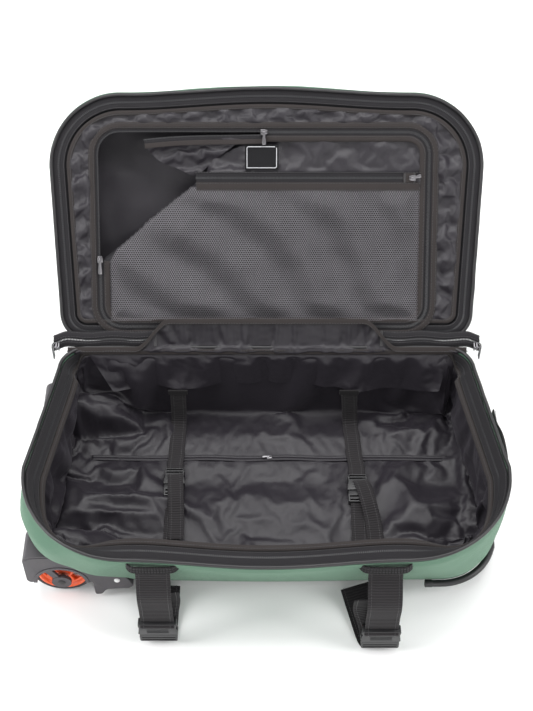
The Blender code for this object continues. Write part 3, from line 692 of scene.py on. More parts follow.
# painted shade: a darker, less glossy copy of the lining for the panel under the net, standing in for the shade the
# net casts on it
LINING_PAINTED_SHADE = woven("charcoal_lining_painted_shade_behind_net", (0.0110, 0.0100, 0.0125), 0.0005, 0.55, crinkle=0.00035,
                    sheen=0.05, gloss=0.25, thread=0.12)
WEBBING_DARK = ribbed("webbing_weave_dark", (0.0090, 0.0082, 0.0092), 0.0042, 0.85, 0.0009, deep=0.45)
PIPING = moulded("piping_cord", (0.0080, 0.0075, 0.0085), 0.45, 0.00012, wear=0.6)
NET = thread("mesh_yarn", (0.100, 0.094, 0.104))
STITCH = thread("sewing_thread", (0.026, 0.025, 0.027))
COIL = moulded("nylon_coil", (0.022, 0.022, 0.024), 0.35, 0.00004, wear=0.2, gloss=0.6)
BLACK = moulded("black_plastic_grain", (0.0100, 0.0098, 0.0110), 0.42, wear=0.5)
GREY = moulded("grey_plastic_grain", (0.0400, 0.0370, 0.0415), 0.50, 0.00015, wear=0.35)
RUBBER = moulded("tyre_rubber_grain", (0.045, 0.042, 0.045), 0.72, 0.00022, wear=0.25, gloss=0.3)
ORANGE = moulded("orange_plastic_gloss", (0.86, 0.115, 0.022), 0.34, 0.00004, variation=0.06, wear=0.05,
                 coat=0.25)
ZINC = metal("zinc_casting", (0.62, 0.61, 0.63), 0.26)
GUNMETAL = metal("gunmetal_casting", (0.20, 0.195, 0.205), 0.34)
STEEL = metal("steel_turned", (0.52, 0.52, 0.54), 0.30)
ALUMINIUM = metal("anodised_tube", (0.70, 0.70, 0.72), 0.30, True)
WHITE = moulded("white_cap", (0.80, 0.80, 0.80), 0.40, 0.00004, wear=0.0)
PATCH = woven("patch_satin", (0.008, 0.008, 0.009), 0.0004, 0.60, sheen=0.02, gloss=0.12)
PATCH_EDGE = thread("patch_border_thread", (0.42, 0.42, 0.44))
BOARD = moulded("base_board_fibre", (0.10, 0.10, 0.11), 0.65, 0.0003, wear=0.1)


# ---------------------------------------------------------------- camera, light and floor

def studio():
    data = bpy.data.cameras.new("camera")
    data.lens = 64.5
    data.sensor_width = 36.0
    camera = bpy.data.objects.new("camera", data)
    camera.location = (0.0, HINGE_Y - 1.346, RIM_Z + 1.573)
    camera.rotation_euler = (math.radians(40.0), 0.0, 0.0)
    bpy.context.scene.collection.objects.link(camera)
    bpy.context.scene.camera = camera

    world = bpy.data.worlds.new("studio")
    world.use_nodes = True
    sky = world.node_tree.nodes["Background"]
    sky.inputs["Color"].default_value = (1.0, 1.0, 1.0, 1.0)
    sky.inputs["Strength"].default_value = 0.52
    bpy.context.scene.world = world
    bpy.context.scene.view_settings.view_transform = "Standard"

    def softbox(name, place, target, size, power):
        light = bpy.data.lights.new(name, "AREA")
        light.shape = "RECTANGLE"
        light.size, light.size_y = size
        light.energy = power
        lamp = bpy.data.objects.new(name, light)
        lamp.location = place
        lamp.rotation_euler = (Vector(target) - Vector(place)).to_track_quat("-Z", "Y").to_euler()
        bpy.context.scene.collection.objects.link(lamp)

    middle = (0.0, 0.0, 0.2)
    softbox("overhead", (0.0, 0.35, 2.4), middle, (2.2, 1.4), 66.0)
    softbox("left_box", (-2.1, -0.5, 1.5), middle, (1.0, 1.6), 46.0)
    softbox("right_box", (2.1, -0.7, 1.3), middle, (1.0, 1.6), 30.0)
    softbox("front_fill", (0.3, -2.6, 1.1), middle, (1.8, 1.0), 22.0)

    g = Graph("pale_floor")
    g.link(g.scaled_colour((0.93, 0.93, 0.93), g.ramp(g.noise(3.0, 2.0), 0.985, 1.015)), "Base Color")
    floor = piece("floor", [(-6, -6, 0), (6, -6, 0), (6, 6, 0), (-6, 6, 0)], [(0, 1, 2, 3)],
                  g.finish(Roughness=0.9, Specular_IOR_Level=0.1), False)


# ---------------------------------------------------------------- cloth simulation

def make_cloth(obj, pins, swell, bending=0.08, mass=0.12, distance=0.0015, fuller=None):
    """Gives a sheet the Cloth it is simulated with. swell is how much fuller it is than its place.

    fuller gives a second, larger swell and the weight that each point has towards it."""
    group = obj.vertex_groups.new(name="pins")
    group.add([int(i) for i in pins], 1.0, "REPLACE")
    modifier = obj.modifiers.new("Cloth", "CLOTH")
    settings = modifier.settings
    settings.quality = 6
    settings.mass = mass
    settings.tension_stiffness = 18.0
    settings.compression_stiffness = 18.0
    settings.shear_stiffness = 4.0
    settings.bending_stiffness = bending
    settings.tension_damping = 8.0
    settings.compression_damping = 8.0
    settings.shear_damping = 8.0
    settings.air_damping = 2.0
    settings.vertex_group_mass = "pins"
    settings.shrink_min = -swell
    if fuller:
        slack = obj.vertex_groups.new(name="slack")
        for i, weight in enumerate(fuller[1]):
            slack.add([i], 1.0 - float(weight), "REPLACE")
        settings.vertex_group_shrink = "slack"
        settings.shrink_min = -fuller[0]
        settings.shrink_max = -swell
        settings.vertex_group_bending = "slack"
        settings.bending_stiffness_max = 4.0 * bending
    collision = modifier.collision_settings
    collision.use_collision = True
    collision.distance_min = distance
    collision.collision_quality = 3
    collision.use_self_collision = False
    return modifier


def collider(obj, thickness=0.0015):
    modifier = obj.modifiers.new("Collision", "COLLISION")
    obj.collision.thickness_outer = thickness
    obj.collision.thickness_inner = 0.01
    obj.collision.cloth_friction = 12.0
    return modifier


def simulate(cloths, colliders, frames):
    """Runs every cloth together, then keeps each one's last shape as its mesh."""
    scene = bpy.context.scene
    scene.frame_start = 1
    scene.frame_end = frames
    for obj in cloths:
        obj.modifiers["Cloth"].point_cache.frame_start = 1
        obj.modifiers["Cloth"].point_cache.frame_end = frames
    for number in range(1, frames + 1):
        scene.frame_set(number)
    for obj in cloths:
        bake(obj)
        obj.vertex_groups.clear()
    for obj in colliders:
        bpy.data.objects.remove(obj, do_unlink=True)
    scene.frame_set(1)


def ruffle(obj, height, scale, seed=0.0, pinned=(), stretch=1.0):
    """Moves points along their normals by smooth noise, so that a flat sheet knows which way to buckle.

    stretch makes the folds longer along X."""
    mesh = obj.data
    normals = np.zeros(len(mesh.vertices) * 3, np.float32)
    mesh.vertex_normals.foreach_get("vector", normals)
    normals = normals.reshape(-1, 3)
    co = np.array([v.co for v in mesh.vertices])
    push = wobble(co / np.array([stretch, 1.0, 1.0]), scale, seed) * height
    push[list(pinned)] = 0.0
    co = co + normals * push[:, None]
    mesh.vertices.foreach_set("co", co.astype(np.float32).ravel())
    mesh.update()


# ---------------------------------------------------------------- tub: rim, lining and shell

HOUSING_TOP = HOUSING_PROFILE[1:8]
DETAIL = 6
BACK_MIDDLE = 25 * DETAIL


def rim_frames(detail=DETAIL):
    """The tub's rim as a closed path, with the way its facing runs inwards and the way up off it."""
    ring = tub_ring(TUB_TOP_Z - 0.001, 0.0036, detail)
    out = outward(ring)
    nx, ny = out[:, 0], out[:, 1]
    turned = 0.96 * np.maximum(0.0, -ny) ** 2 + 0.50 * nx ** 2
    angle = math.pi / 2.0 * turned * (1.0 - 0.80 * (2.0 * nx * ny) ** 2)
    for _ in range(6 * detail):
        angle = (np.roll(angle, 1) + 2.0 * angle + np.roll(angle, -1)) / 4.0
    inward = np.stack([-nx, -ny, np.zeros(len(nx))], 1)
    rise = np.array([0.0, 0.0, 1.0])
    side = inward * np.sin(angle)[:, None] - rise * np.cos(angle)[:, None]
    up = inward * np.cos(angle)[:, None] + rise * np.sin(angle)[:, None]
    return ring, side, up


def facing_reach(ring):
    """How far the facing runs in from the rim: its full width, but only a binding along the back."""
    back = smooth((ring[:, 1] - (HINGE_Y - 0.030)) / 0.020) * smooth((0.318 - np.abs(ring[:, 0])) / 0.020)
    return 1.0 - back


def floor_height(s):
    """Height of the lining's floor, with humps over the handle's tubes and hollows between them."""
    hump = 0.0035 * (np.exp(-((s - 0.074) / 0.020) ** 2) + np.exp(-((s - 0.206) / 0.020) ** 2))
    hollow = 0.0050 * np.exp(-((s - 0.162) / 0.022) ** 2) + 0.0075 * smooth((s - 0.232) / 0.040)
    return FLOOR_Z + 0.0015 + hump - hollow


def floor_at(x, y):
    """Floor height at a place, raised where the wheel housings stand up under the lining."""
    level = floor_height(HINGE_Y - y)
    tops = np.interp(x, [p[0] for p in HOUSING_TOP], [p[1] for p in HOUSING_TOP]) + 0.004
    front = 1.0 - smooth((y - (HOUSING_FACES["front"] + HOUSING_DEPTH)) / 0.016)
    rear = 1.0 - smooth(((HOUSING_FACES["rear"] - HOUSING_DEPTH) - y) / 0.016)
    weight = np.maximum(front, rear)
    level = level + weight * np.maximum(0.0, tops - level)
    for node in ("handle_bezel", "tube_bracket"):
        low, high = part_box(node)
        over = smooth((x - low.x + 0.020) / 0.012) * smooth((high.x + 0.020 - x) / 0.012)
        over = over * smooth((y - low.y + 0.018) / 0.012) * smooth((high.y + 0.018 - y) / 0.012)
        level = level + over * np.maximum(0.0, high.z + 0.0035 - level)
    return level


def tub_lining():
    """The lining, hung from the rim's facing and let fall into the tub with more cloth than it needs."""
    rim, side, up = rim_frames()
    reach = facing_reach(rim)
    top = rim + side * (0.007 + 0.027 * reach)[:, None] - up * 0.0012
    bottom = tub_ring(0.055, 0.013, DETAIL)
    bottom[:, 2] = floor_at(bottom[:, 0], bottom[:, 1])
    low = tub_ring(TUB_EDGE_Z, 0.0045, DETAIL)
    high = tub_ring(TUB_TOP_Z, 0.0045, DETAIL)
    out = outward(rim)
    out = np.stack([out[:, 0], out[:, 1], np.zeros(len(out))], 1)
    rows = 17
    wall = []
    for row in range(rows):
        t = row / (rows - 1)
        belly = 0.016 * math.sin(math.pi * t) * reach
        wall.append(top * (1 - t) + bottom * t + out * belly[:, None])
    tray = []
    tray_rows = 8
    for row in range(tray_rows):
        t = row / (tray_rows - 1)
        z = 0.206 * (1 - t) + (bottom[:, 2] - 0.003) * t
        mix = np.clip((z - TUB_EDGE_Z) / (TUB_TOP_Z - TUB_EDGE_Z), 0.0, 1.2)[:, None]
        place = low * (1 - mix) + high * mix
        place[:, 2] = z
        tray.append(place)
    tray[-1][:, :2] = (bottom + out * 0.003)[:, :2] * 0.4 + tray[-1][:, :2] * 0.6

    sheet, spots, _ = polygon_sheet("floor_patch", bottom[:, :2], [], 0.0088, lambda x, y: 0.0, LINING, 3)
    count = len(rim)
    floor_faces = [tuple(p.vertices) for p in sheet.data.polygons]
    bpy.data.objects.remove(sheet, do_unlink=True)

    def bag(name, levels, inner, material):
        rows_here = len(levels)
        points = np.vstack(levels + [inner])
        start = (rows_here - 1) * count
        faces = []
        uvs = []
        u = lengths(levels[0], True)
        v = lengths([level[BACK_MIDDLE] for level in levels])
        for r in range(rows_here - 1):
            for c in range(count):
                c2 = (c + 1) % count
                faces.append((r * count + c, (r + 1) * count + c, (r + 1) * count + c2, r * count + c2))
                uvs += [(u[c], v[r]), (u[c], v[r + 1]), (u[c + 1], v[r + 1]), (u[c + 1], v[r])]
        for face in floor_faces:
            faces.append(tuple(start + i if i < count else rows_here * count + i - count for i in face))
            uvs += [tuple(spots[i]) for i in face]
        return piece(name, points, faces, material, True, uvs)

    inner = spots[count:]
    inner_z = floor_at(inner[:, 0], inner[:, 1])
    lining = bag("tub_lining_cloth", wall, np.column_stack([inner, inner_z]), LINING)
    tray_floor = np.column_stack([inner, inner_z - 0.003])
    tray_obj = bag("tub_tray", tray, tray_floor, LINING)
    collider(tray_obj)
    for obj in (lining, tray_obj):
        recalc_towards(obj, Vector((0.0, HINGE_Y - 0.18, 0.14)))
    pins = list(range(count))
    seam = [rows * count + k for k, (x, y) in enumerate(inner)
            if abs(y - FLOOR_SEAM_Y) < 0.0052 and -0.285 < x < 0.295]
    ruffle(lining, 0.0040, 12.0, 3.0, pins + seam)
    co = np.array([v.co for v in lining.data.vertices])
    slack = smooth((np.abs(co[:, 0]) - 0.165) / 0.075)
    make_cloth(lining, pins + seam, 0.016, 0.10, fuller=(0.130, slack))
    return lining, tray_obj


def recalc_towards(obj, target):
    """Turns the faces of an open surface so that they look towards a point."""
    recalc(obj)
    total = 0.0
    for polygon in obj.data.polygons:
        total += (target - polygon.center).dot(polygon.normal) * polygon.area
    if total < 0.0:
        obj.data.flip_normals()


def back_flap():
    """Strip of lining that hangs from the hinge side to a hem, and hides the back wall's seam."""
    cols, rows = 92, 15
    grid = np.zeros((rows, cols, 3))
    for r in range(rows):
        t = r / (rows - 1)
        for c in range(cols):
            k = c / (cols - 1)
            left = -0.290 + 0.038 * t
            right = 0.296 - 0.012 * t
            x = left + (right - left) * k
            hem = 0.137 - 0.010 * smooth((k - 0.66) / 0.12) * smooth((1.0 - k) / 0.10)
            z = RIM_Z - 0.0115 + (hem - RIM_Z + 0.0115) * t
            y = HINGE_Y - 0.0125 - 0.027 * t - 0.004 * math.sin(k * 19.0 + t * 2.0) * t
            grid[r, c] = (x, y, z)
    obj = surface("back_flap_cloth", grid, LINING)
    recalc_towards(obj, Vector((0.0, -2.0, 0.5)))
    pins = list(range(cols)) + [r * cols for r in range(rows)] + [r * cols + cols - 1 for r in range(rows)]
    for x in (-0.150, 0.148):
        k = int(round((x + 0.255) / (0.284 + 0.255) * (cols - 1)))
        pins += [(rows - 1) * cols + k + d for d in (-1, 0, 1)]
    ruffle(obj, 0.0025, 30.0, 9.0, pins)
    make_cloth(obj, pins, 0.045, 0.05)
    return obj


def finish_cloth(obj, body, crinkle=0.0004, scale=120.0, seed=5.0, levels=1):
    """Smooths a simulated sheet, adds fine creases in the mesh and puts it on its body."""
    subdivide(obj, levels)
    bake(obj)
    ruffle(obj, crinkle, scale, seed)
    obj.data.shade_smooth()
    if body:
        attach(obj, body)


def tub_rim():
    """Piping and binding all round the tub, and two runs of zip tape with the teeth between them along all but the
    back.
    """
    rim, side, up = rim_frames()
    reach = facing_reach(rim)
    path = np.roll(rim, -BACK_MIDDLE, 0)
    side_run = np.roll(side, -BACK_MIDDLE, 0)
    up_run = np.roll(up, -BACK_MIDDLE, 0)
    keep = slice(4 * DETAIL + 3, len(path) - 4 * DETAIL - 3)
    path, side_run, up_run = path[keep], side_run[keep], up_run[keep]
    outer = sweep("a", path, side_run, up_run, strip_profile(0.0005, 0.0158, -0.0008, 0.0006), TAPE)
    inner = sweep("b", path, side_run, up_run, strip_profile(0.0182, 0.0275, -0.0014, 0.0002), TAPE)
    teeth = beads("c", path, side_run, up_run, COIL, 0.0030, (0.0017, 0.0032, 0.0013), (0.0170, 0.0000))
    stitch = beads("d", path, side_run, up_run, STITCH, 0.0042, (0.0028, 0.0006, 0.0006), (0.0262, 0.0004))
    stitch2 = beads("e", path, side_run, up_run, STITCH, 0.0042, (0.0028, 0.0006, 0.0006), (0.0030, 0.0007))
    tape = join("tub_rim_tape", [outer, inner, teeth, stitch, stitch2])
    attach(tape, "case")
    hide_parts("tub_zip_tape")

    edge = rim + side * (0.0020 + 0.0270 * reach)[:, None]
    wave = wobble(rim, 30.0, 4.0)[:, None] * up * 0.0007
    profile = [(-0.0010, 0.0), (0.0012, -0.0020), (0.0050, -0.0022), (0.0088, -0.0012), (0.0094, 0.0006),
               (0.0086, 0.0024), (0.0050, 0.0032), (0.0012, 0.0026)]
    binding = sweep("f", edge + wave, side, up, profile, BINDING, True)
    stitches = beads("g", edge + wave, side, up, STITCH, STITCH_STEP, STITCH_SIZE, (0.0024, 0.0030), True)
    binding = join("tub_rim_binding", [binding, stitches])
    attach(binding, "case")

    cord = tub_ring(TUB_TOP_Z, 0.0010, DETAIL)
    cord[:, 2] += 0.0046
    out = outward(cord)
    out = np.stack([out[:, 0], out[:, 1], np.zeros(len(out))], 1)
    rise = np.tile([0.0, 0.0, 1.0], (len(cord), 1))
    wave = wobble(cord, 45.0, 2.0)[:, None] * out * 0.0006
    welt = [(0.0028 * math.cos(a) - 0.0003 * (1 if a > math.pi else 0), 0.0030 * math.sin(a))
            for a in (2 * math.pi * k / 12 for k in range(12))]
    piping = sweep("tub_piping_cord", cord + wave, out, rise, welt, PIPING, True)
    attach(piping, "case")
    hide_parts("tub_piping")


def shell_bulge(points, amount, seed):
    return wobble(points, 9.0, seed) * amount + wobble(points, 26.0, seed + 3.0) * amount * 0.35


def cap(obj, count):
    """Closes the hole inside a surface's first row of points, with UVs in metres."""
    shape = bmesh.new()
    shape.from_mesh(obj.data)
    hole = [edge for edge in shape.edges if edge.is_boundary and edge.verts[0].index < count]
    layer = shape.loops.layers.uv[UV]
    for face in bmesh.ops.holes_fill(shape, edges=hole)["faces"]:
        face.smooth = True
        for place in face.loops:
            place[layer].uv = (place.vert.co.x, place.vert.co.y + place.vert.co.z)
    shape.to_mesh(obj.data)
    shape.free()


WHEEL_CORNER = np.array([-0.921, -0.390])
CORNER_FULLNESS = 0.012


def tub_shell():
    """The green tub: soft walls that bow between the rim and the base, fuller at the front wheel corner."""
    levels = [(TUB_BASE_Z, 0.100), (TUB_BASE_Z, 0.034), (TUB_BASE_Z + 0.0006, 0.020), (0.0242, 0.012),
              (0.0290, 0.0055), (0.0345, 0.0020), (TUB_EDGE_Z, 0.0), (0.055, -0.0010)]
    levels += [(z, -0.0022 - 0.0020 * math.sin(math.pi * (z - 0.055) / 0.148)) for z in
               np.linspace(0.068, 0.190, 14)]
    levels += [(0.196, -0.0012), (TUB_TOP_Z, 0.0)]
    rings = []
    for z, inset in levels:
        ring = tub_ring(z, inset, 4)
        out = outward(ring)
        calm = smooth((TUB_TOP_Z - z) / 0.02) * smooth((z - 0.040) / 0.03)
        corner = smooth((out @ WHEEL_CORNER - 0.70) / 0.30) * smooth((HINGE_Y - 0.220 - ring[:, 1]) / 0.090)
        full = smooth((TUB_TOP_Z - z) / 0.045) * smooth((z - 0.050) / 0.055)
        push = shell_bulge(ring, 0.0022, 11.0) * calm + CORNER_FULLNESS * corner * full
        ring[:, :2] += out * push[:, None]
        rings.append(ring)
    grid = np.stack(rings)
    obj = surface("tub_shell_cloth", grid, GREEN, (False, True))
    cap(obj, len(rings[0]))
    recalc_towards(obj, Vector((0.0, HINGE_Y - 0.2, 0.12)))
    obj.data.flip_normals()
    thicken(obj, CLOTH)
    bake(obj)
    for side, face in HOUSING_FACES.items():
        sign = 1.0 if side == "front" else -1.0
        notch = [(x + 0.0005, z + 0.0010) for x, z in HOUSING_PROFILE[:8]]
        notch[0] = (-0.42, 0.120)
        notch += [(-0.2055, -0.01), (-0.42, -0.01)]
        ends = sorted((face - sign * 0.04, face + sign * (HOUSING_DEPTH + 0.0005)))
        boolean(obj, prism("notch", notch, ends[0], ends[1], GREEN))
    low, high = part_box("handle_bezel")
    boolean(obj, box("room", low - Vector((0.012, 0.0005, 0.0005)), high + Vector((0.03, 0.0005, 0.0005)), GREEN))
    smooth_by_angle(obj, 50.0)
    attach(obj, "case")
    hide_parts("tub_shell")


# ---------------------------------------------------------------- lid

def lid_ring(inset, detail=DETAIL):
    """The lid's outline as (x, s)."""
    ring = outline(LID_RIM, inset, detail)
    ring[:, 1] *= -1.0
    return ring


def lid_path(loop, h, closed=True):
    """A path in the lid at height h, with the way inwards and the way towards the viewer."""
    loop = np.asarray(loop, float)
    flat = np.column_stack([loop, np.full(len(loop), h)])
    along = tangents(flat, closed)
    middle = loop.mean(0)
    inward = np.stack([-along[:, 1], along[:, 0], np.zeros(len(along))], 1)
    if ((middle - loop) * inward[:, :2]).sum() < 0.0:
        inward = -inward
    up = np.tile([0.0, 0.0, -1.0], (len(loop), 1))
    return in_lid(flat), lid_vectors(inward), lid_vectors(up)


def lid_rim():
    """The lid's piping, its half of the main zip in two runs of tape, and the deeper binding."""
    u_shape = lid_ring(0.0030)
    u_shape = np.roll(u_shape, -BACK_MIDDLE, 0)[3 * DETAIL:-3 * DETAIL]
    path, side, up = lid_path(u_shape, 0.0078, False)
    outer = sweep("a", path, side, up, strip_profile(-0.0026, 0.0072, -0.0002, 0.0012), TAPE)
    inner = sweep("b", path, side, up, strip_profile(0.0088, 0.0172, -0.0012, 0.0004), TAPE)
    teeth = beads("c", path, side, up, COIL, 0.0030, (0.0017, 0.0030, 0.0013), (0.0080, 0.0006))
    stitch = beads("d", path, side, up, STITCH, 0.0042, (0.0028, 0.0006, 0.0006), (0.0160, 0.0006))
    gap = sweep("e", path, side, up, strip_profile(0.0168, 0.0230, -0.0060, -0.0048), TAPE)
    tape = join("lid_rim_tape", [outer, inner, teeth, stitch, gap])
    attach(tape, "lid")
    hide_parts("lid_zip_tape")

    wave = wobble(path, 28.0, 6.0)[:, None] * up * 0.0008
    profile = [(0.0208, -0.0030), (0.0268, -0.0034), (0.0282, -0.0010), (0.0270, 0.0002), (0.0240, 0.0009),
               (0.0214, 0.0004), (0.0204, -0.0010)]
    binding = sweep("f", path + wave, side, up, profile, BINDING)
    stitches = beads("g", path + wave, side, up, STITCH, STITCH_STEP, STITCH_SIZE, (0.0262, 0.0004))
    binding = join("lid_rim_binding", [binding, stitches])
    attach(binding, "lid")

    loop = lid_ring(-0.0008)
    path, side, up = lid_path(loop, 0.0046)
    wave = wobble(path, 45.0, 8.0)[:, None] * side * 0.0006
    piping = sweep("lid_piping_cord", path + wave, side, up, round_profile(0.0028, 12), PIPING, True)
    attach(piping, "lid")
    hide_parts("lid_piping")


def lid_shell():
    """The green lid: a shallow soft tray whose walls puff out past the piping."""
    top = LID_TOP
    levels = [(top, inset) for inset in (0.180, 0.165, 0.140, 0.110, 0.075, 0.045)]
    levels += [(top - 0.0012, 0.026), (top - 0.0040, 0.0135), (top - 0.0090, 0.0055), (top - 0.0150, 0.0010)]
    levels += [(h, -0.0035 - 0.0020 * math.sin(math.pi * h / 0.055)) for h in np.linspace(0.050, 0.012, 8)]
    levels += [(0.008, -0.0034), (0.0045, -0.0004)]
    rings = []
    for h, inset in levels:
        ring = outline(LID_RIM, inset, 4)
        out = outward(ring)
        push = shell_bulge(np.column_stack([ring, np.full(len(ring), h)]), 0.0016, 21.0) * smooth((h - 0.006) / 0.02)
        ring = ring + out * push[:, None]
        dip = shell_bulge(np.column_stack([ring, np.zeros(len(ring))]), 0.0012, 31.0) * smooth((h - 0.05) / 0.02)
        dip = dip * smooth((0.170 - inset) / 0.080)
        rings.append(in_lid(np.column_stack([ring[:, 0], -ring[:, 1], h - np.abs(dip)])))
    obj = surface("lid_shell_cloth", np.stack(rings), GREEN, (False, True))
    cap(obj, len(rings[0]))
    recalc_towards(obj, Vector(in_lid([(0.0, 0.2, 0.03)])[0]))
    obj.data.flip_normals()
    thicken(obj, CLOTH)
    bake(obj)
    smooth_by_angle(obj, 50.0)
    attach(obj, "lid")
    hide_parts("lid_shell")


def to_lid(obj):
    co = np.array([v.co for v in obj.data.vertices])
    obj.data.vertices.foreach_set("co", in_lid(co).astype(np.float32).ravel())
    obj.data.update()


def lid_border():
    """Lining between the rim's binding and the panel's zip, gathered at both edges."""
    ring = lid_ring(0.0285)
    ring[:, 1] = np.maximum(ring[:, 1], 0.016)
    outer = resample(np.column_stack([ring, np.zeros(len(ring))]), 0.0052, True)[0][:, :2]
    hole = resample(np.column_stack([panel_loop(-0.0120), np.zeros(len(panel_loop(0.0)))]), 0.0052, True)[0][:, :2]
    obj, spots, rim_count = polygon_sheet("lid_border_cloth", outer, [hole], 0.0052, lambda x, s: 0.0084,
                                          LINING, 5)
    for k, (x, s) in enumerate(spots):
        if k >= rim_count:
            deep = 0.0022 * math.sin(x * 140.0 + s * 55.0) + 0.0018 * math.sin(s * 170.0 - x * 40.0)
            obj.data.vertices[k].co.z += deep
    to_lid(obj)
    recalc_towards(obj, bpy.context.scene.camera.location)
    ruffle(obj, 0.0030, 52.0, 13.0, range(rim_count))
    make_cloth(obj, range(rim_count), 0.085, 0.02)
    return obj


PANEL_CUT = [(-0.004, PANEL_FAR - 0.0065), (-0.050, 0.322), (-0.082, 0.298), (-0.111, 0.265), (-0.182, 0.2085),
             (-0.240, 0.157), (PANEL_LEFT + 0.0065, PANEL_CUT_S)]


def panel_edge():
    """The panel's outline: round three sides of its zip, and along the edge that hangs open."""
    loop = panel_loop(0.0095, 8)
    kept = [p for p in loop if p[0] > -0.004 or p[1] < PANEL_CUT_S]
    cut = catmull(PANEL_CUT, 5)
    outline_points = np.vstack([np.array(kept), cut])
    return outline_points, cut


def lid_panel():
    """The zipped panel. Its far left corner is unzipped, and that edge sags back into the lid."""
    edge, cut = panel_edge()
    loop = resample(np.column_stack([edge, np.zeros(len(edge))]), 0.0068, True)[0][:, :2]
    obj, spots, rim_count = polygon_sheet("lid_panel_cloth", loop, [], 0.0070, lambda x, s: 0.0086, LINING, 6)
    obj.data.materials.append(LINING_PAINTED_SHADE)
    # painted shade: the panel's faces under the net take the darker copy of the lining
    for polygon in obj.data.polygons:
        if polygon.center[1] < POCKET_ZIP_S - 0.010:
            polygon.material_index = 1
    pins = []
    for k, (x, s) in enumerate(spots):
        near_cut = edge_distance((x, s), cut)
        if k < rim_count and near_cut > 0.006:
            pins.append(k)
        elif abs(s - (POCKET_ZIP_S + 0.008)) < 0.0040 and x > -0.100:
            pins.append(k)
        elif -0.032 < x < 0.016 and 0.281 < s < 0.317:
            pins.append(k)
        else:
            slope = smooth(1.0 - near_cut / 0.08) * 0.0070
            obj.data.vertices[k].co.z += slope + 0.0012 * math.sin(x * 60.0 + s * 80.0)
    for k in range(rim_count):
        if k not in pins:
            obj.data.vertices[k].co.z += 0.004
    to_lid(obj)
    recalc_towards(obj, bpy.context.scene.camera.location)
    ruffle(obj, 0.0022, 26.0, 17.0, pins)
    make_cloth(obj, pins, 0.050, 0.04)
    return obj


LOOSE_TOP = [(-0.004, 0.3300), (-0.050, 0.3290), (-0.100, 0.3285), (-0.150, 0.3265), (-0.194, 0.3225)]
LOOSE_FOLD = [(-0.190, 0.312), (-0.181, 0.301), (-0.166, 0.2895), (-0.142, 0.280), (-0.116, 0.268)]
LOOSE_BACK = [(-0.100, 0.278), (-0.078, 0.298), (-0.047, 0.320)]


def loose_corner():
    """The panel's free corner, folded back under itself below the open zip."""
    edge = np.vstack([catmull(LOOSE_TOP, 4), catmull(LOOSE_FOLD, 4), np.array(LOOSE_BACK)])
    loop = resample(np.column_stack([edge, np.zeros(len(edge))]), 0.0055, True)[0][:, :2]
    top = np.array(LOOSE_TOP)
    obj, spots, rim_count = polygon_sheet("panel_corner_cloth", loop, [], 0.0055, lambda x, s: 0.0105, LINING, 8)
    for k, (x, s) in enumerate(spots):
        drop = edge_distance((x, s), np.vstack([top, top[::-1]]))
        fold = math.sin(drop * 260.0 + x * 22.0)
        obj.data.vertices[k].co.z += 0.010 * smooth(drop / 0.05) + 0.0035 * fold * smooth(drop / 0.012)
    to_lid(obj)
    recalc_towards(obj, bpy.context.scene.camera.location)
    pins = [k for k in range(rim_count)]
    ruffle(obj, 0.0020, 40.0, 23.0, pins)
    make_cloth(obj, pins, 0.060, 0.03)
    return obj


def lid_cavity():
    """Lining on the inside of the lid, seen through the open corner."""
    rows = []
    for h, inset in ((0.0100, 0.0060), (0.022, 0.0065), (0.034, 0.0070), (0.046, 0.0090), (0.055, 0.0130),
                     (0.0610, 0.0200), (0.0635, 0.0300)):
        ring = lid_ring(inset, 4)
        rows.append(np.column_stack([ring, np.full(len(ring), h)]))
    ring = rows[-1][:, :2]
    sheet, spots, rim_count = polygon_sheet("cavity_patch", ring, [], 0.016, lambda x, s: 0.0, LINING, 9)
    faces = [tuple(p.vertices) for p in sheet.data.polygons]
    bpy.data.objects.remove(sheet, do_unlink=True)
    count = len(ring)
    inner = spots[count:]
    waves = 0.0640 - 0.0035 * np.abs(np.sin(inner[:, 0] * 13.0 + inner[:, 1] * 21.0)) \
        - 0.0030 * np.abs(wobble(np.column_stack([inner, np.zeros(len(inner))]), 14.0, 41.0))
    points = np.vstack(rows + [np.column_stack([inner, waves])])
    all_faces = []
    uvs = []
    flat = points[:, :2]
    for r in range(len(rows) - 1):
        for c in range(count):
            c2 = (c + 1) % count
            face = (r * count + c, r * count + c2, (r + 1) * count + c2, (r + 1) * count + c)
            all_faces.append(face)
            uvs += [tuple(flat[i]) for i in face]
    start = (len(rows) - 1) * count
    for face in faces:
        moved = tuple(start + i if i < count else len(rows) * count + i - count for i in face)
        all_faces.append(moved)
        uvs += [tuple(flat[i]) for i in moved]
    obj = piece("lid_lining_cloth", in_lid(points), all_faces, LINING, True, uvs)
    recalc_towards(obj, Vector(in_lid([(0.0, 0.2, 0.0)])[0]))
    subdivide(obj)
    bake(obj)
    ruffle(obj, 0.0016, 30.0, 47.0)
    obj.data.shade_smooth()
    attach(obj, "lid")
    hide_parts("lid_lining")


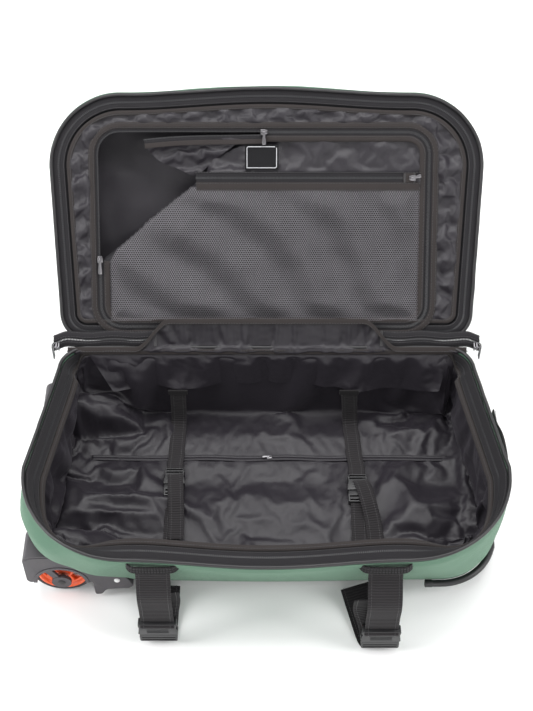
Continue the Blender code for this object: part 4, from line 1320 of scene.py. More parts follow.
def panel_zip():
    """Zip round the panel between two brown-grey bindings. It is open between its two sliders."""
    loop = panel_loop(0.0, 10)
    loop = resample(np.column_stack([loop, np.zeros(len(loop))]), 0.006, True)[0][:, :2]
    far_left = [k for k, (x, s) in enumerate(loop) if x < -0.004 and s > PANEL_CUT_S]
    lift = wobble(np.column_stack([loop, np.zeros(len(loop))]), 20.0, 3.0) * 0.0008
    path, side, up = lid_path(loop, 0.0078)
    path = path + up * lift[:, None]
    outer_binding = sweep("a", path, side, up, [(-0.0150, -0.0016), (-0.0060, -0.0018), (-0.0054, 0.0004),
                                                (-0.0064, 0.0019), (-0.0100, 0.0024), (-0.0140, 0.0019),
                                                (-0.0156, 0.0004)], BINDING, True)
    stitches = [beads("s", path, side, up, STITCH, STITCH_STEP, STITCH_SIZE, (place, 0.0022), True)
                for place in (-0.0136, -0.0074)]
    outer_tape = sweep("b", path, side, up, strip_profile(-0.0062, -0.0016, -0.0008, 0.0004), TAPE, True)
    teeth = beads("c", path, side, up, COIL, 0.0022, (0.0012, 0.0024, 0.0012), (-0.0010, 0.0006), True)
    pieces = [outer_binding, outer_tape, teeth] + stitches

    start = far_left[-1] + 1
    closed_run = [k % len(loop) for k in range(start, start + len(loop) - len(far_left))]
    run = (path[closed_run], side[closed_run], up[closed_run])
    pieces.append(sweep("d", *run, strip_profile(0.0014, 0.0062, -0.0008, 0.0004), TAPE))
    pieces.append(beads("e", *run, COIL, 0.0022, (0.0012, 0.0024, 0.0012), (0.0011, 0.0006)))
    pieces.append(sweep("f", *run, [(0.0058, -0.0014), (0.0146, -0.0014), (0.0154, 0.0004), (0.0144, 0.0018),
                                    (0.0100, 0.0023), (0.0066, 0.0017), (0.0056, 0.0004)], BINDING))
    pieces.append(beads("g", *run, STITCH, STITCH_STEP, STITCH_SIZE, (0.0074, 0.0021)))
    obj = join("panel_zip_run", pieces)
    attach(obj, "lid")
    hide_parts("panel_zip")

    loose = catmull([(x, s, 0.0094 + 0.0018 * math.sin(k)) for k, (x, s) in enumerate(LOOSE_TOP)], 8)
    flat = in_lid(loose)
    along = tangents(flat, False)
    up = np.tile(lid_vectors([(0.0, 0.12, -0.99)])[0], (len(flat), 1))
    across = unit(np.cross(up, along))
    if (across @ lid_vectors([(0.0, 1.0, 0.0)])[0]).sum() > 0:
        across = -across
    tape = sweep("h", flat, across, up, strip_profile(-0.0030, 0.0034, -0.0004, 0.0006), TAPE)
    teeth = beads("i", flat, across, up, COIL, 0.0022, (0.0012, 0.0022, 0.0012), (-0.0034, 0.0004))
    binding = sweep("j", flat, across, up, strip_profile(0.0030, 0.0105, -0.0006, 0.0016), BINDING)
    obj = join("panel_zip_loose_half", [tape, teeth, binding])
    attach(obj, "lid")


def honeycomb():
    """The mesh pocket: a net of hexagons laid over the panel, with broad slack folds across it."""
    pitch = 0.0036
    strand = 0.74
    edge = [(-0.2520, 0.038), (-0.2520, 0.132), (-0.240, 0.152), (-0.182, 0.2035), (-0.122, 0.2500),
            (0.2440, 0.2500), (0.2440, 0.038)]

    def height(x, s):
        lean = 0.76 * x + 0.65 * s
        wave = math.sin(lean * 68.0 + 1.4 * math.sin((0.65 * x - 0.76 * s) * 16.0))
        room = smooth(min(edge_distance((x, s), edge) / 0.030, 1.0))
        small = noise.noise(Vector((x * 26.0, s * 26.0, 4.0)))
        return 0.0056 - room * (0.0040 + 0.0042 * wave + 0.0018 * small)

    points = []
    faces = []
    columns = int(0.50 / pitch) + 2
    rows = int(0.22 / (pitch * 0.866)) + 2
    index = {}

    def vertex(x, s):
        key = (round(x, 6), round(s, 6))
        if key not in index:
            index[key] = len(points)
            points.append((x, s, height(x, s)))
        return index[key]

    for row in range(rows):
        for column in range(columns):
            x = -0.254 + pitch * (column + (0.5 if row % 2 else 0.0))
            s = 0.038 + row * pitch * 0.866
            if not inside((x, s), edge):
                continue
            corners = [(math.sin(math.radians(60 * k)), math.cos(math.radians(60 * k))) for k in range(6)]
            r = pitch / math.sqrt(3.0)
            outer = [vertex(x + r * a, s + r * b) for a, b in corners]
            inner = []
            for a, b in corners:
                inner.append(len(points))
                points.append((x + r * strand * a, s + r * strand * b, height(x, s)))
            for k in range(6):
                faces.append((outer[k], outer[(k + 1) % 6], inner[(k + 1) % 6], inner[k]))
    obj = piece("mesh_pocket_net", in_lid(points), faces, NET, True)
    recalc_towards(obj, bpy.context.scene.camera.location)
    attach(obj, "lid")
    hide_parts("mesh_pocket")
    return obj


def pocket_zip():
    """Straight zip across the panel over the mesh pocket, with the binding that the mesh hangs from."""
    left = np.array([-0.112, POCKET_ZIP_S, 0.0058])
    right = np.array([0.2440, POCKET_ZIP_S, 0.0058])
    flat = np.array([left * (1 - t) + right * t for t in np.linspace(0, 1, 60)])
    flat[:, 2] -= 0.0009 * np.abs(wobble(flat, 25.0, 2.0))
    path = in_lid(flat)
    out = np.tile(lid_vectors([(0.0, 1.0, 0.0)])[0], (len(path), 1))
    up = np.tile(lid_vectors([(0.0, 0.0, -1.0)])[0], (len(path), 1))
    pieces = [sweep("a", path, out, up, strip_profile(0.0012, 0.0080, -0.0010, 0.0002), TAPE),
              sweep("b", path, out, up, strip_profile(-0.0080, -0.0012, -0.0010, 0.0002), TAPE),
              beads("c", path, out, up, COIL, 0.0022, (0.0013, 0.0022, 0.0012), (0.0009, 0.0002)),
              beads("c", path, out, up, COIL, 0.0022, (0.0013, 0.0022, 0.0012), (-0.0009, 0.0004)),
              sweep("d", path, out, up, strip_profile(-0.0200, -0.0072, -0.0012, 0.0010), BINDING),
              sweep("d", path, out, up, strip_profile(0.0076, 0.0094, -0.0008, 0.0009), TAPE)]
    for place in (-0.0188, -0.0086, 0.0084):
        pieces.append(beads("e", path, out, up, STITCH, STITCH_STEP, STITCH_SIZE, (place, 0.0011)))
    stop = in_lid([(0.218 + 0.0022 * k, POCKET_ZIP_S, 0.0046) for k in range(10)])
    pieces.append(sweep("f", stop, out[:10], up[:10], strip_profile(-0.0072, 0.0072, -0.0004, 0.0012), BINDING))
    for k in (1, 8):
        bar = np.array([stop[k] + out[0] * a for a in np.linspace(-0.0068, 0.0068, 8)])
        pieces.append(beads("g", bar, np.tile(tangents(stop, False)[0], (8, 1)), up[:8], STITCH, 0.0012,
                            (0.0010, 0.0024, 0.0008), (0.0, 0.0014)))
    obj = join("pocket_zip_run", pieces)
    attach(obj, "lid")
    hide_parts("pocket_zip")


def label_patch():
    """Blank sewn patch with a pale embroidered border."""
    x0, x1, s0, s1, h = -0.034, 0.019, 0.2790, 0.3180, 0.0056
    cols, rows = 24, 18
    grid = np.zeros((rows, cols, 3))
    for r in range(rows):
        for c in range(cols):
            x = x0 + (x1 - x0) * c / (cols - 1)
            s = s0 + (s1 - s0) * r / (rows - 1)
            grid[r, c] = (x, s, h - 0.0006 * math.sin(x * 90.0) - 0.0004 * math.sin(s * 120.0 + x * 40.0))
    sheet = surface("patch", in_lid(grid.reshape(-1, 3)).reshape(rows, cols, 3), PATCH)
    recalc_towards(sheet, bpy.context.scene.camera.location)
    thicken(sheet, 0.0011)
    bake(sheet)
    pieces = [sheet]
    for inset, width, material, lift in ((0.0030, 0.0011, PATCH_EDGE, 0.0004), (0.0004, 0.0010, PATCH, 0.0005)):
        a, b, c, d = x0 + inset, x1 - inset, s0 + inset, s1 - inset
        corner = [(a, c), (b, c), (b, d), (a, d)]
        loop = resample(np.array([(x, s, h - lift) for x, s in corner]), 0.0035, True)[0]
        path, side, up = lid_path(loop[:, :2], h - lift)
        pieces.append(beads("edge", path, side, up, material, 0.0011, (0.0014, width, 0.0008), (0.0, 0.0), True, 0.4))
    obj = join("label_patch_blank", pieces)
    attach(obj, "lid")
    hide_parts("label_patch")


# ---------------------------------------------------------------- hinge

def hinge_gusset():
    """Strip of lining over the hinge with a binding along each edge, and the closed ends of the main zip."""
    across = np.linspace(-0.322, 0.324, 160)

    def section(t):
        """From the tub's back rim (t = 0) up over the hinge to the lid (t = 1)."""
        rows = catmull([(HINGE_Y - 0.0110, RIM_Z - 0.0080), (HINGE_Y - 0.0085, RIM_Z + 0.0010),
                        (HINGE_Y - 0.0035, RIM_Z + 0.0120), (HINGE_Y + 0.0040, RIM_Z + 0.0240),
                        (HINGE_Y + 0.0150, RIM_Z + 0.0385)], 8)
        along = lengths(rows) / lengths(rows)[-1]
        return np.interp(t, along, rows[:, 0]), np.interp(t, along, rows[:, 1])

    def arch(x):
        """The strip's upper edge runs down to the hinge at both ends."""
        return 0.10 + 0.90 * smooth((0.214 - abs(x)) / 0.058)

    def row(t, lift=0.0, spread=across):
        points = []
        for x in spread:
            y, z = section(t * arch(x))
            puff = lift + 0.0085 * math.sin(math.pi * min(1.0, t)) * arch(x)
            points.append((x, y + GAP_FACE[1] * puff, z + GAP_FACE[2] * puff))
        return np.array(points)

    ts = np.linspace(0.0, 1.0, 15)
    grid = np.stack([row(t) for t in ts])
    strip = surface("hinge_gusset_cloth", grid, LINING)
    recalc_towards(strip, bpy.context.scene.camera.location)
    cols = len(across)
    pins = list(range(cols)) + list(range(14 * cols, 15 * cols))
    pins += [r * cols + e for r in range(15) for e in (0, cols - 1)]
    ruffle(strip, 0.0045, 46.0, 51.0, pins, 3.6)
    make_cloth(strip, pins, 0.085, 0.03)

    rise = np.tile(GAP_RISE, (cols, 1))
    face = np.tile(GAP_FACE, (cols, 1))
    upper = row(1.0, 0.0015) + wobble(row(1.0), 22.0, 2.0)[:, None] * face * 0.001
    top = sweep("a", upper, rise, face, strip_profile(-0.0055, 0.0030, -0.0010, 0.0018), BINDING)
    top_line = beads("b", upper, rise, face, STITCH, STITCH_STEP, STITCH_SIZE, (-0.0040, 0.0019))
    upper_binding = join("hinge_binding_lid", [top, top_line])
    lower = row(0.0, 0.0020)
    low_rise = np.tile([0.0, 0.30, 0.954], (cols, 1))
    low_face = np.tile([0.0, -0.954, 0.30], (cols, 1))
    low = sweep("c", lower, low_rise, low_face, strip_profile(-0.0040, 0.0045, -0.0010, 0.0020), BINDING)
    low_line = beads("d", lower, low_rise, low_face, STITCH, STITCH_STEP, STITCH_SIZE, (0.0030, 0.0021))
    lower_binding = join("hinge_binding_tub", [low, low_line])
    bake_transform(upper_binding)
    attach(lower_binding, "case")

    for side, sign, inner in (("left", -1.0, 0.180), ("right", 1.0, 0.186)):
        spread = np.linspace(0.345, inner, 44) * sign
        spine = []
        for k, x in enumerate(spread):
            reach = (abs(x) - inner) / (0.332 - inner)
            s = 0.0085 - 0.002 * reach + 0.0012 * math.sin(k * 0.31) - 0.0060 * smooth((abs(x) - 0.322) / 0.026)
            h = -0.0085 + 0.003 * reach
            spine.append((x, s, h))
        path = in_lid(spine)
        up = np.tile(GAP_FACE, (len(path), 1))
        out = np.tile(GAP_RISE, (len(path), 1))
        bow = [(-0.0125, -0.0032), (-0.0065, -0.0008), (-0.0012, 0.0006), (-0.0012, 0.0014), (-0.0067, 0.0001),
               (-0.0129, -0.0022)]
        parts = [sweep("a", path, out, up, bow, TAPE),
                 sweep("b", path, out, up, [(-a, b) for a, b in reversed(bow)], TAPE),
                 beads("c", path, out, up, COIL, 0.0024, (0.0017, 0.0026, 0.0016), (0.0, 0.0010))]
        for place, drop in ((-0.0112, -0.0016), (0.0112, -0.0016), (0.0045, 0.0008), (-0.0045, 0.0008)):
            parts.append(beads("d", path, out, up, STITCH, STITCH_STEP, (0.0030, 0.0006, 0.0006), (place, drop)))
        end_bar = np.array([path[-1] + out[0] * a for a in np.linspace(-0.0120, 0.0120, 10)])
        parts.append(beads("e", end_bar, np.tile([1.0, 0, 0], (10, 1)), up[:10], STITCH, 0.0012,
                           (0.0010, 0.0040, 0.0012), (0.0, 0.0012)))
        tape = join("hinge_zip_" + side, parts)
        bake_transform(tape)
        if side == "left":
            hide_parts("hinge_tape")
    return strip


# ---------------------------------------------------------------- wheels, housings and other hard parts

def spun(name, profile, material, steps=72):
    """A solid turned about the Y axis. The profile of (radius, y) is a closed loop."""
    count = len(profile)
    points = []
    faces = []
    for k in range(steps):
        a = 2.0 * math.pi * k / steps
        points += [(r * math.cos(a), y, r * math.sin(a)) for r, y in profile]
    for k in range(steps):
        k2 = (k + 1) % steps
        for i in range(count):
            j = (i + 1) % count
            faces.append((k * count + i, k * count + j, k2 * count + j, k2 * count + i))
    obj = piece(name, points, faces, material)
    recalc(obj)
    smooth_by_angle(obj, 40.0)
    return obj


def wheel(side):
    """Grooved tyre on an orange hub with five pierced spokes."""
    centre = Vector(JOINTS["wheel_%s_spin" % side]["pos_m"])
    half = WHEEL_HALF_WIDTH
    rim = 0.0385
    tread = [(rim + 0.0001, -half + 0.001), (rim + 0.0010, -half), (WHEEL_R - 0.0034, -half + 0.0002),
             (WHEEL_R - 0.0014, -half + 0.0018), (WHEEL_R - 0.0002, -half + 0.0042)]
    for groove in (-0.0035, 0.0035):
        tread += [(WHEEL_R, groove - 0.0009), (WHEEL_R - 0.0010, groove - 0.0006), (WHEEL_R - 0.0010, groove + 0.0006),
                  (WHEEL_R, groove + 0.0009)]
    tread += [(r, -y) for r, y in reversed(tread[:5])]
    tyre = spun("tyre_%s_tread" % side, tread, RUBBER, 96)
    tyre.location = centre
    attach(tyre, "wheel_" + side)
    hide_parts("tyre_" + side)

    outer = rim - 0.0004
    profile = [(0.0042, -half), (0.0090, -half), (0.0102, -half + 0.0012), (0.0112, -0.0052), (0.0130, -0.0040),
               (outer - 0.0080, -0.0040), (outer - 0.0052, -0.0056), (outer - 0.0040, -half + 0.0012),
               (outer - 0.0030, -half + 0.0003), (outer - 0.0004, -half + 0.0003), (outer, -half + 0.0010)]
    profile += [(r, -y) for r, y in reversed(profile)]
    hub = spun("hub_%s_orange" % side, profile, ORANGE, 90)
    for spoke in range(5):
        a = 2.0 * math.pi * (spoke + 0.5) / 5
        slot = []
        for r, spread, steps in ((0.0305, 0.44, 7), (0.0165, 0.26, 5)):
            angles = np.linspace(-spread, spread, steps)
            if r < 0.02:
                angles = angles[::-1]
            slot += [(r * math.cos(a + b), r * math.sin(a + b)) for b in angles]
        boolean(hub, prism("slot", slot, -0.02, 0.02, ORANGE))
    ease(hub, 0.0006, 2, 40, shade=40.0)
    hub.location = centre
    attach(hub, "wheel_" + side)
    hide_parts("hub_" + side)


def housing(side):
    """Moulded corner round a wheel, with a raised rib round its outer face and a white-capped screw."""
    sign = 1.0 if side == "front" else -1.0
    face = HOUSING_FACES[side]
    inner = face + sign * HOUSING_DEPTH
    corners = [np.array(p) for p in HOUSING_PROFILE]
    profile = []
    for i, corner in enumerate(corners):
        before = corners[i - 1]
        after = corners[(i + 1) % len(corners)]
        cut = min(0.006, 0.35 * np.linalg.norm(corner - before), 0.35 * np.linalg.norm(after - corner))
        a = corner + (before - corner) / np.linalg.norm(before - corner) * cut
        b = corner + (after - corner) / np.linalg.norm(after - corner) * cut
        for t in (0.0, 0.33, 0.67, 1.0):
            profile.append(tuple(a * (1 - t) ** 2 + corner * 2 * t * (1 - t) + b * t * t))
    low, high = sorted((face + sign * 0.0015, inner))
    obj = prism("wheel_housing_%s_moulding" % side, profile, low, high, GREY)
    x, z = WHEEL.x, WHEEL.z

    def drum(start, end, radius):
        return cylinder("drum", (x, face + sign * start, z), (x, face + sign * end, z), radius, GREY, 96)

    boolean(obj, drum(0.006, HOUSING_DEPTH - 0.006, 0.0485))
    boolean(obj, drum(-0.004, 0.008, 0.0375))
    rim_piece = drum(0.0004, 0.0060, 0.0430)
    boolean(rim_piece, drum(-0.004, 0.008, 0.0375))
    below = box("below", (x - 0.06, min(face, inner) - 0.01, z - 0.06), (x + 0.06, max(face, inner) + 0.01, z), GREY)
    boolean(rim_piece, below)
    boolean(obj, rim_piece, "UNION")
    a = math.radians(118.0)
    direction = np.array([math.cos(a), math.sin(a)])
    across = np.array([-direction[1], direction[0]])
    ends = ((0.010, -0.0048), (0.040, -0.0060), (0.040, 0.0060), (0.010, 0.0048))
    spoke = [(x + c[0], z + c[1]) for c in (direction * r + across * w for r, w in ends)]
    low, high = sorted((face + sign * 0.0012, face + sign * 0.0058))
    boolean(obj, prism("spoke", spoke, low, high, GREY), "UNION")
    boolean(obj, drum(0.0006, 0.0059, 0.0150), "UNION")
    boolean(obj, drum(0.0030, HOUSING_DEPTH - 0.003, 0.0042))
    ease(obj, 0.0011, 2, 38, shade=32.0)
    ribs = []
    inset = [(px * 0.955 - 0.0125, pz * 0.92 + 0.0045) for px, pz in HOUSING_PROFILE[1:8]]
    line = catmull([(px, face + sign * 0.0012, pz) for px, pz in inset], 8)
    out = np.tile([0.0, -sign, 0.0], (len(line), 1))
    flat = unit(np.cross(tangents(line, False), out))
    ribs.append(sweep("rib", line, flat, out, strip_profile(-0.0008, 0.0008, -0.0010, 0.0007, 0.0003), GREY))
    obj = join(obj.name, [obj] + ribs)
    obj.name = "wheel_housing_%s_moulding" % side
    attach(obj, "case")
    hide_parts("wheel_housing_" + side)

    cap = spun("housing_screw_" + side, [(0.0001, -0.0022), (0.0034, -0.0020), (0.0044, -0.0010), (0.0046, 0.0012),
                                         (0.0001, 0.0012)], WHITE, 40)
    boolean(cap, box("cross", (-0.0026, -0.004, -0.0005), (0.0026, -0.0012, 0.0005), WHITE))
    boolean(cap, box("cross", (-0.0005, -0.004, -0.0026), (0.0005, -0.0012, 0.0026), WHITE))
    if sign < 0:
        cap.rotation_euler = (0.0, 0.0, math.pi)
    cap.location = (-0.231, face + sign * 0.0012, 0.052)
    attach(cap, "case")

    bolt = spun("axle_cap_" + side, [(0.0001, -0.0014), (0.0050, -0.0014), (0.0062, -0.0004), (0.0062, 0.0010),
                                     (0.0001, 0.0010)], BLACK, 40)
    if sign < 0:
        bolt.rotation_euler = (0.0, 0.0, math.pi)
    bolt.location = (x, face + sign * 0.0006, z)
    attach(bolt, "case")


def end_guard():
    """Bent tube at the handle end, with capped ends."""
    ring = tub_ring(0.0335, -0.0045, 2)
    half = [tuple(p) for p in ring[:len(ring) // 2] if p[0] > 0.235]
    front = [p for p in half if p[1] < HINGE_Y - 0.265]
    rear = [p for p in half if p[1] > HINGE_Y - 0.030]
    lie = 0.0050
    foot = [(0.3580, HINGE_Y - 0.248, 0.0270), (0.3560, HINGE_Y - 0.238, 0.0110),
            (0.3480, HINGE_Y - 0.222, lie), (0.3400, HINGE_Y - 0.192, lie), (0.3400, HINGE_Y - 0.086, lie),
            (0.3430, HINGE_Y - 0.062, lie), (0.3460, HINGE_Y - 0.046, 0.0100), (0.3440, HINGE_Y - 0.037, 0.0240)]
    line = resample(catmull(front + foot + rear, 4), 0.006, False)[0]
    line[:, 2] = np.maximum(line[:, 2], lie)
    along = tangents(line, False)
    out = unit(np.cross(along, np.tile([0.0, 0.0, 1.0], (len(line), 1))))
    up = unit(np.cross(out, along))
    tube = sweep("tube", line, out, up, round_profile(0.0054, 16), BLACK)
    ends = []
    for point, direction in ((line[0], -along[0]), (line[-1], along[-1])):
        cap = cylinder("cap", point - direction * 0.010, point + direction * 0.002, 0.0060, BLACK, 24)
        ease(cap, 0.0012, 2)
        ends.append(cap)
    obj = join("end_guard_tube", [tube] + ends)
    smooth_by_angle(obj, 40.0)
    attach(obj, "case")
    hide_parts("end_guard")


def soft_box(name, node, material, radius, grooves=None, segments=3):
    """A moulding the size of a CAD node, with rounded edges and optional grip grooves across it."""
    low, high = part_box(node)
    obj = box(name, low, high, material)
    for tool in grooves(low, high) if grooves else []:
        boolean(obj, tool)
    ease(obj, radius, segments, shade=40.0)
    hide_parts(node)
    return obj


def trolley_parts():
    low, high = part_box("handle_bezel")

    def mouth(low, high):
        tools = [box("t", low + Vector((0.008, 0.006, 0.004)), high + Vector((0.01, -0.006, -0.004)), BLACK)]
        for node in ("outer_tube_front", "outer_tube_rear"):
            a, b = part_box(node)
            centre = (a + b) / 2.0
            tools.append(cylinder("t", (0.30, centre.y, centre.z), (0.345, centre.y, centre.z), 0.0079, BLACK))
        return tools

    bezel = soft_box("handle_bezel_moulding", "handle_bezel", BLACK, 0.0022, mouth)
    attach(bezel, "case")

    def grip_cuts(low, high):
        centre = (low.y + high.y) / 2.0
        tools = [box("t", (high.x - 0.006, centre - 0.0182, 0.0343), (high.x + 0.01, centre + 0.0182, 0.0487), BLACK)]
        for k in range(-8, 9):
            if abs(k) > 3:
                y = centre + k * 0.0085
                tools.append(box("t", (high.x - 0.0011, y - 0.0012, low.z - 0.01),
                                 (high.x + 0.01, y + 0.0012, high.z + 0.01), BLACK))
        return tools

    grip = soft_box("grip_moulding", "grip", BLACK, 0.0026, grip_cuts)
    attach(grip, "trolley")
    button = soft_box("release_button_moulding", "release_button", GREY, 0.0009)
    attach(button, "button")
    nodes = frame["nodes"]
    for name in ("outer_tube_front", "outer_tube_rear", "inner_tube_front", "inner_tube_rear"):
        paint(nodes[name], ALUMINIUM)
    for name in ("axle_front", "axle_rear"):
        paint(nodes[name], STEEL)
    paint(nodes["tube_bracket"], BLACK)
    paint(nodes["base_board"], BOARD)


def paint(obj, material):
    obj.data.materials.clear()
    obj.data.materials.append(material)


def grab_handle():
    """Padded webbing loop with its ends sewn down by two lines of stitches each."""
    low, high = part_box("grab_handle")
    y = (low.y + high.y) / 2.0
    z = (low.z + high.z) / 2.0
    points = [(0.3672, y - 0.084, z), (0.3690, y - 0.060, z), (0.3752, y - 0.035, z), (0.3772, y, z),
              (0.3752, y + 0.035, z), (0.3690, y + 0.060, z), (0.3672, y + 0.084, z)]
    line = catmull(points, 12)
    along = tangents(line, False)
    up = np.tile([0.0, 0.0, 1.0], (len(line), 1))
    out = unit(np.cross(along, up))
    swell = np.exp(-(((line[:, 1] - y) / 0.045) ** 4))
    grid = []
    for k in range(20):
        a = 2.0 * math.pi * k / 20
        wide = 0.0138 * np.sign(math.cos(a)) * abs(math.cos(a)) ** 0.5
        thick = 0.0017 + 0.0016 * swell
        grid.append(line + up * wide + out * (thick * np.sign(math.sin(a)) * abs(math.sin(a)) ** 0.7)[:, None])
    strap = surface("loop", np.stack(grid), WEBBING, (True, False))
    recalc(strap)
    shape = bmesh.new()
    shape.from_mesh(strap.data)
    bmesh.ops.holes_fill(shape, edges=[edge for edge in shape.edges if edge.is_boundary])
    shape.to_mesh(strap.data)
    shape.free()
    parts = [strap]
    for end in (-1.0, 1.0):
        for shift in (-0.011, 0.011):
            run = np.array([(0.3700, y + end * a, z + shift) for a in np.linspace(0.066, 0.082, 8)])
            parts.append(beads("s", run, np.tile([0, 0, 1.0], (8, 1)), np.tile([1.0, 0, 0], (8, 1)), STITCH, 0.0030,
                               (0.0022, 0.0008, 0.0008), (0.0, 0.0)))
    obj = join("grab_handle_padded", parts)
    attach(obj, "case")
    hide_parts("grab_handle")


# ---------------------------------------------------------------- straps and buckles

def ribbon(name, points, width, material, across=(1.0, 0.0, 0.0), thickness=0.0017, step=0.0035, folds=0.0004):
    """Webbing along a path, with slightly raised woven edges and a line of stitches along each."""
    path = resample(catmull(points, 10), step, False)[0]
    along = tangents(path, False)
    flat = np.tile(np.asarray(across, float), (len(path), 1))
    flat = unit(flat - along * np.sum(along * flat, 1)[:, None])
    up = unit(np.cross(flat, along))
    up = up * (1.0 if up[:, 2].sum() - up[:, 1].sum() > 0 else -1.0)
    half = width / 2.0
    low, high = -thickness / 2.0, thickness / 2.0
    places = np.linspace(-half, half, 13)
    profile = [(a, low) for a in places] + [(half + 0.0005, 0.0)]
    profile += [(a, high + (0.0003 if abs(a) > half - 0.0035 else 0.0)) for a in places[::-1]]
    profile.append((-half - 0.0005, 0.0))
    wave = wobble(path, 40.0, half * 100.0)[:, None] * up * folds
    strap = sweep("ribbon", path + wave, flat, up, profile, material)
    parts = [strap]
    for edge in (-1.0, 1.0):
        parts.append(beads("s", path + wave, flat, up, STITCH, STITCH_STEP, (0.0030, 0.0007, 0.0006),
                           (edge * (half - 0.0048), high + 0.0002)))
    return join(name, parts)


def buckle_parts(name, width, material):
    """Side-release buckle about its own Z axis, its face toward -Y: socket above, plug with prongs below."""
    half = width / 2.0 + 0.005
    depth = 0.0065

    def slab(profile, low, high):
        """A profile of (x, z) between two places in Y."""
        return prism("slab", profile, low, high, material)

    def slot(low, high):
        return box("slot", (-width / 2.0 - 0.0006, -0.02, low), (width / 2.0 + 0.0006, 0.02, high), material)

    body = [(-half, 0.0012), (-half + 0.0012, 0.0), (half - 0.0012, 0.0), (half, 0.0012), (half - 0.0012, 0.0110),
            (half - 0.0022, 0.0150), (half - 0.0022, 0.0190), (half - 0.0010, 0.0235), (half - 0.0010, 0.0285),
            (half - 0.0026, 0.0300)]
    body += [(-x, z) for x, z in reversed(body[3:])]
    socket = slab(body, -depth + 0.0002, depth - 0.0002)
    boolean(socket, box("mouth", (-half + 0.0045, -0.0036, -0.01), (half - 0.0045, 0.0036, 0.0195), material))
    for sign in (-1.0, 1.0):
        window = sorted((sign * (half - 0.0042), sign * (half + 0.006)))
        boolean(socket, box("window", (window[0], -0.0034, 0.0052), (window[1], 0.0034, 0.0165), material))
    for low, high in ((0.0212, 0.0236), (0.0262, 0.0284)):
        boolean(socket, slot(low, high))
    ease(socket, 0.0011, 3, 40, shade=42.0)
    ridges = []
    for k in range(3):
        z = 0.0050 + k * 0.0042
        ridges.append(box("ridge", (-half * 0.55, -depth - 0.0003, z),
                          (half * 0.55, -depth + 0.0010, z + 0.0012), material))
    socket = join(name + "_socket_body", [socket] + ridges)

    base = [(-half + 0.0012, -0.0092), (-half + 0.0020, -0.0008), (half - 0.0020, -0.0008), (half - 0.0012, -0.0092),
            (half - 0.0014, -0.0205), (half - 0.0032, -0.0223), (-half + 0.0032, -0.0223), (-half + 0.0014, -0.0205)]
    plug = slab(base, -depth + 0.0011, depth - 0.0011)
    for low, high in ((-0.0196, -0.0170), (-0.0128, -0.0104)):
        boolean(plug, slot(low, high))
    ease(plug, 0.0011, 3, 40)
    prongs = []
    for sign in (-1.0, 1.0):
        shape = [(half - 0.0096, -0.0020), (half - 0.0060, -0.0020), (half - 0.0050, 0.0050), (half - 0.0047, 0.0110),
                 (half - 0.0052, 0.0152), (half - 0.0072, 0.0185), (half - 0.0088, 0.0172), (half - 0.0084, 0.0100)]
        shape = [(sign * x, z) for x, z in shape]
        prongs.append(slab(shape, -0.0028, 0.0028))
    prongs.append(box("guide", (-0.0022, -0.0026, -0.002), (0.0022, 0.0026, 0.0165), material))
    for prong in prongs:
        ease(prong, 0.0007, 2, 40)
    plug = join(name + "_plug_body", [plug] + prongs)
    smooth_by_angle(plug, 42.0)
    return socket, plug


def outer_straps():
    for side, x, lean, foot_x in (("left", -0.164, -0.424, -0.160), ("right", 0.172, -0.436, 0.140)):
        y = HINGE_Y + lean
        name = "outer_strap_" + side
        upper = [(x, HINGE_Y - 0.4070, 0.186), (x, HINGE_Y - 0.4110, 0.166), (x, y - 0.0006, 0.135), (x, y, 0.095),
                 (x, y, 0.0600), (x, y - 0.0002, 0.0572)]
        strap = ribbon(name + "_upper_webbing", upper, 0.0495, WEBBING)
        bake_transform(strap)
        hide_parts(name + "_upper")
        loop = [(x, y - 0.0040, 0.0640), (x, y - 0.0078, 0.0600), (x, y - 0.0066, 0.0555), (x, y - 0.0010, 0.0540)]
        turn = ribbon(name + "_turn", loop, 0.0490, WEBBING, step=0.0015, folds=0.0)
        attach(turn, "outer_socket_" + side)

        low = 0.0030
        lower = [(x, y, 0.0162), (x, y + 0.0005, 0.0110), (x + (foot_x - x) * 0.06, y + 0.0065, low + 0.0022),
                 (x + (foot_x - x) * 0.30, y + 0.022, low), (x + (foot_x - x) * 0.70, HINGE_Y - 0.368, 0.010),
                 (foot_x, HINGE_Y - 0.342, 0.028)]
        under = ribbon(name + "_lower_webbing", lower, 0.0495, WEBBING_DARK)
        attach(under, "case")
        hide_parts(name + "_lower")
        tail_x = x + (0.012 if side == "left" else -0.020)
        tail = [(x + (tail_x - x) * 0.2, y + 0.0035, 0.0180), (x + (tail_x - x) * 0.5, y + 0.0090, 0.0600),
                (tail_x, y + 0.0105, 0.1050), (tail_x, y + 0.0060, 0.1400)]
        loose = ribbon(name + "_tail", tail, 0.0480, WEBBING_DARK, across=(1.0, 0.05, 0.03))
        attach(loose, "case")

        keeper_y = HINGE_Y - 0.4090
        patch = ribbon(name + "_keeper", [(x - 0.037, keeper_y + 0.0070, 0.1885), (x - 0.028, keeper_y + 0.0005, 0.1882),
                                          (x, keeper_y - 0.0006, 0.1880), (x + 0.028, keeper_y + 0.0005, 0.1882),
                                          (x + 0.037, keeper_y + 0.0070, 0.1885)], 0.0150, WEBBING_DARK,
                       across=(0.0, 0.10, 0.995), thickness=0.0014, folds=0.0001)
        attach(patch, "case")

        socket, plug = buckle_parts("outer_buckle_" + side, 0.050, BLACK)
        for obj, body in ((socket, "outer_socket_" + side), (plug, "case")):
            obj.location = (x, y, 0.0345)
            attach(obj, body)
        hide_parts("outer_buckle_%s_socket" % side)
        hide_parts("outer_buckle_%s_plug" % side)


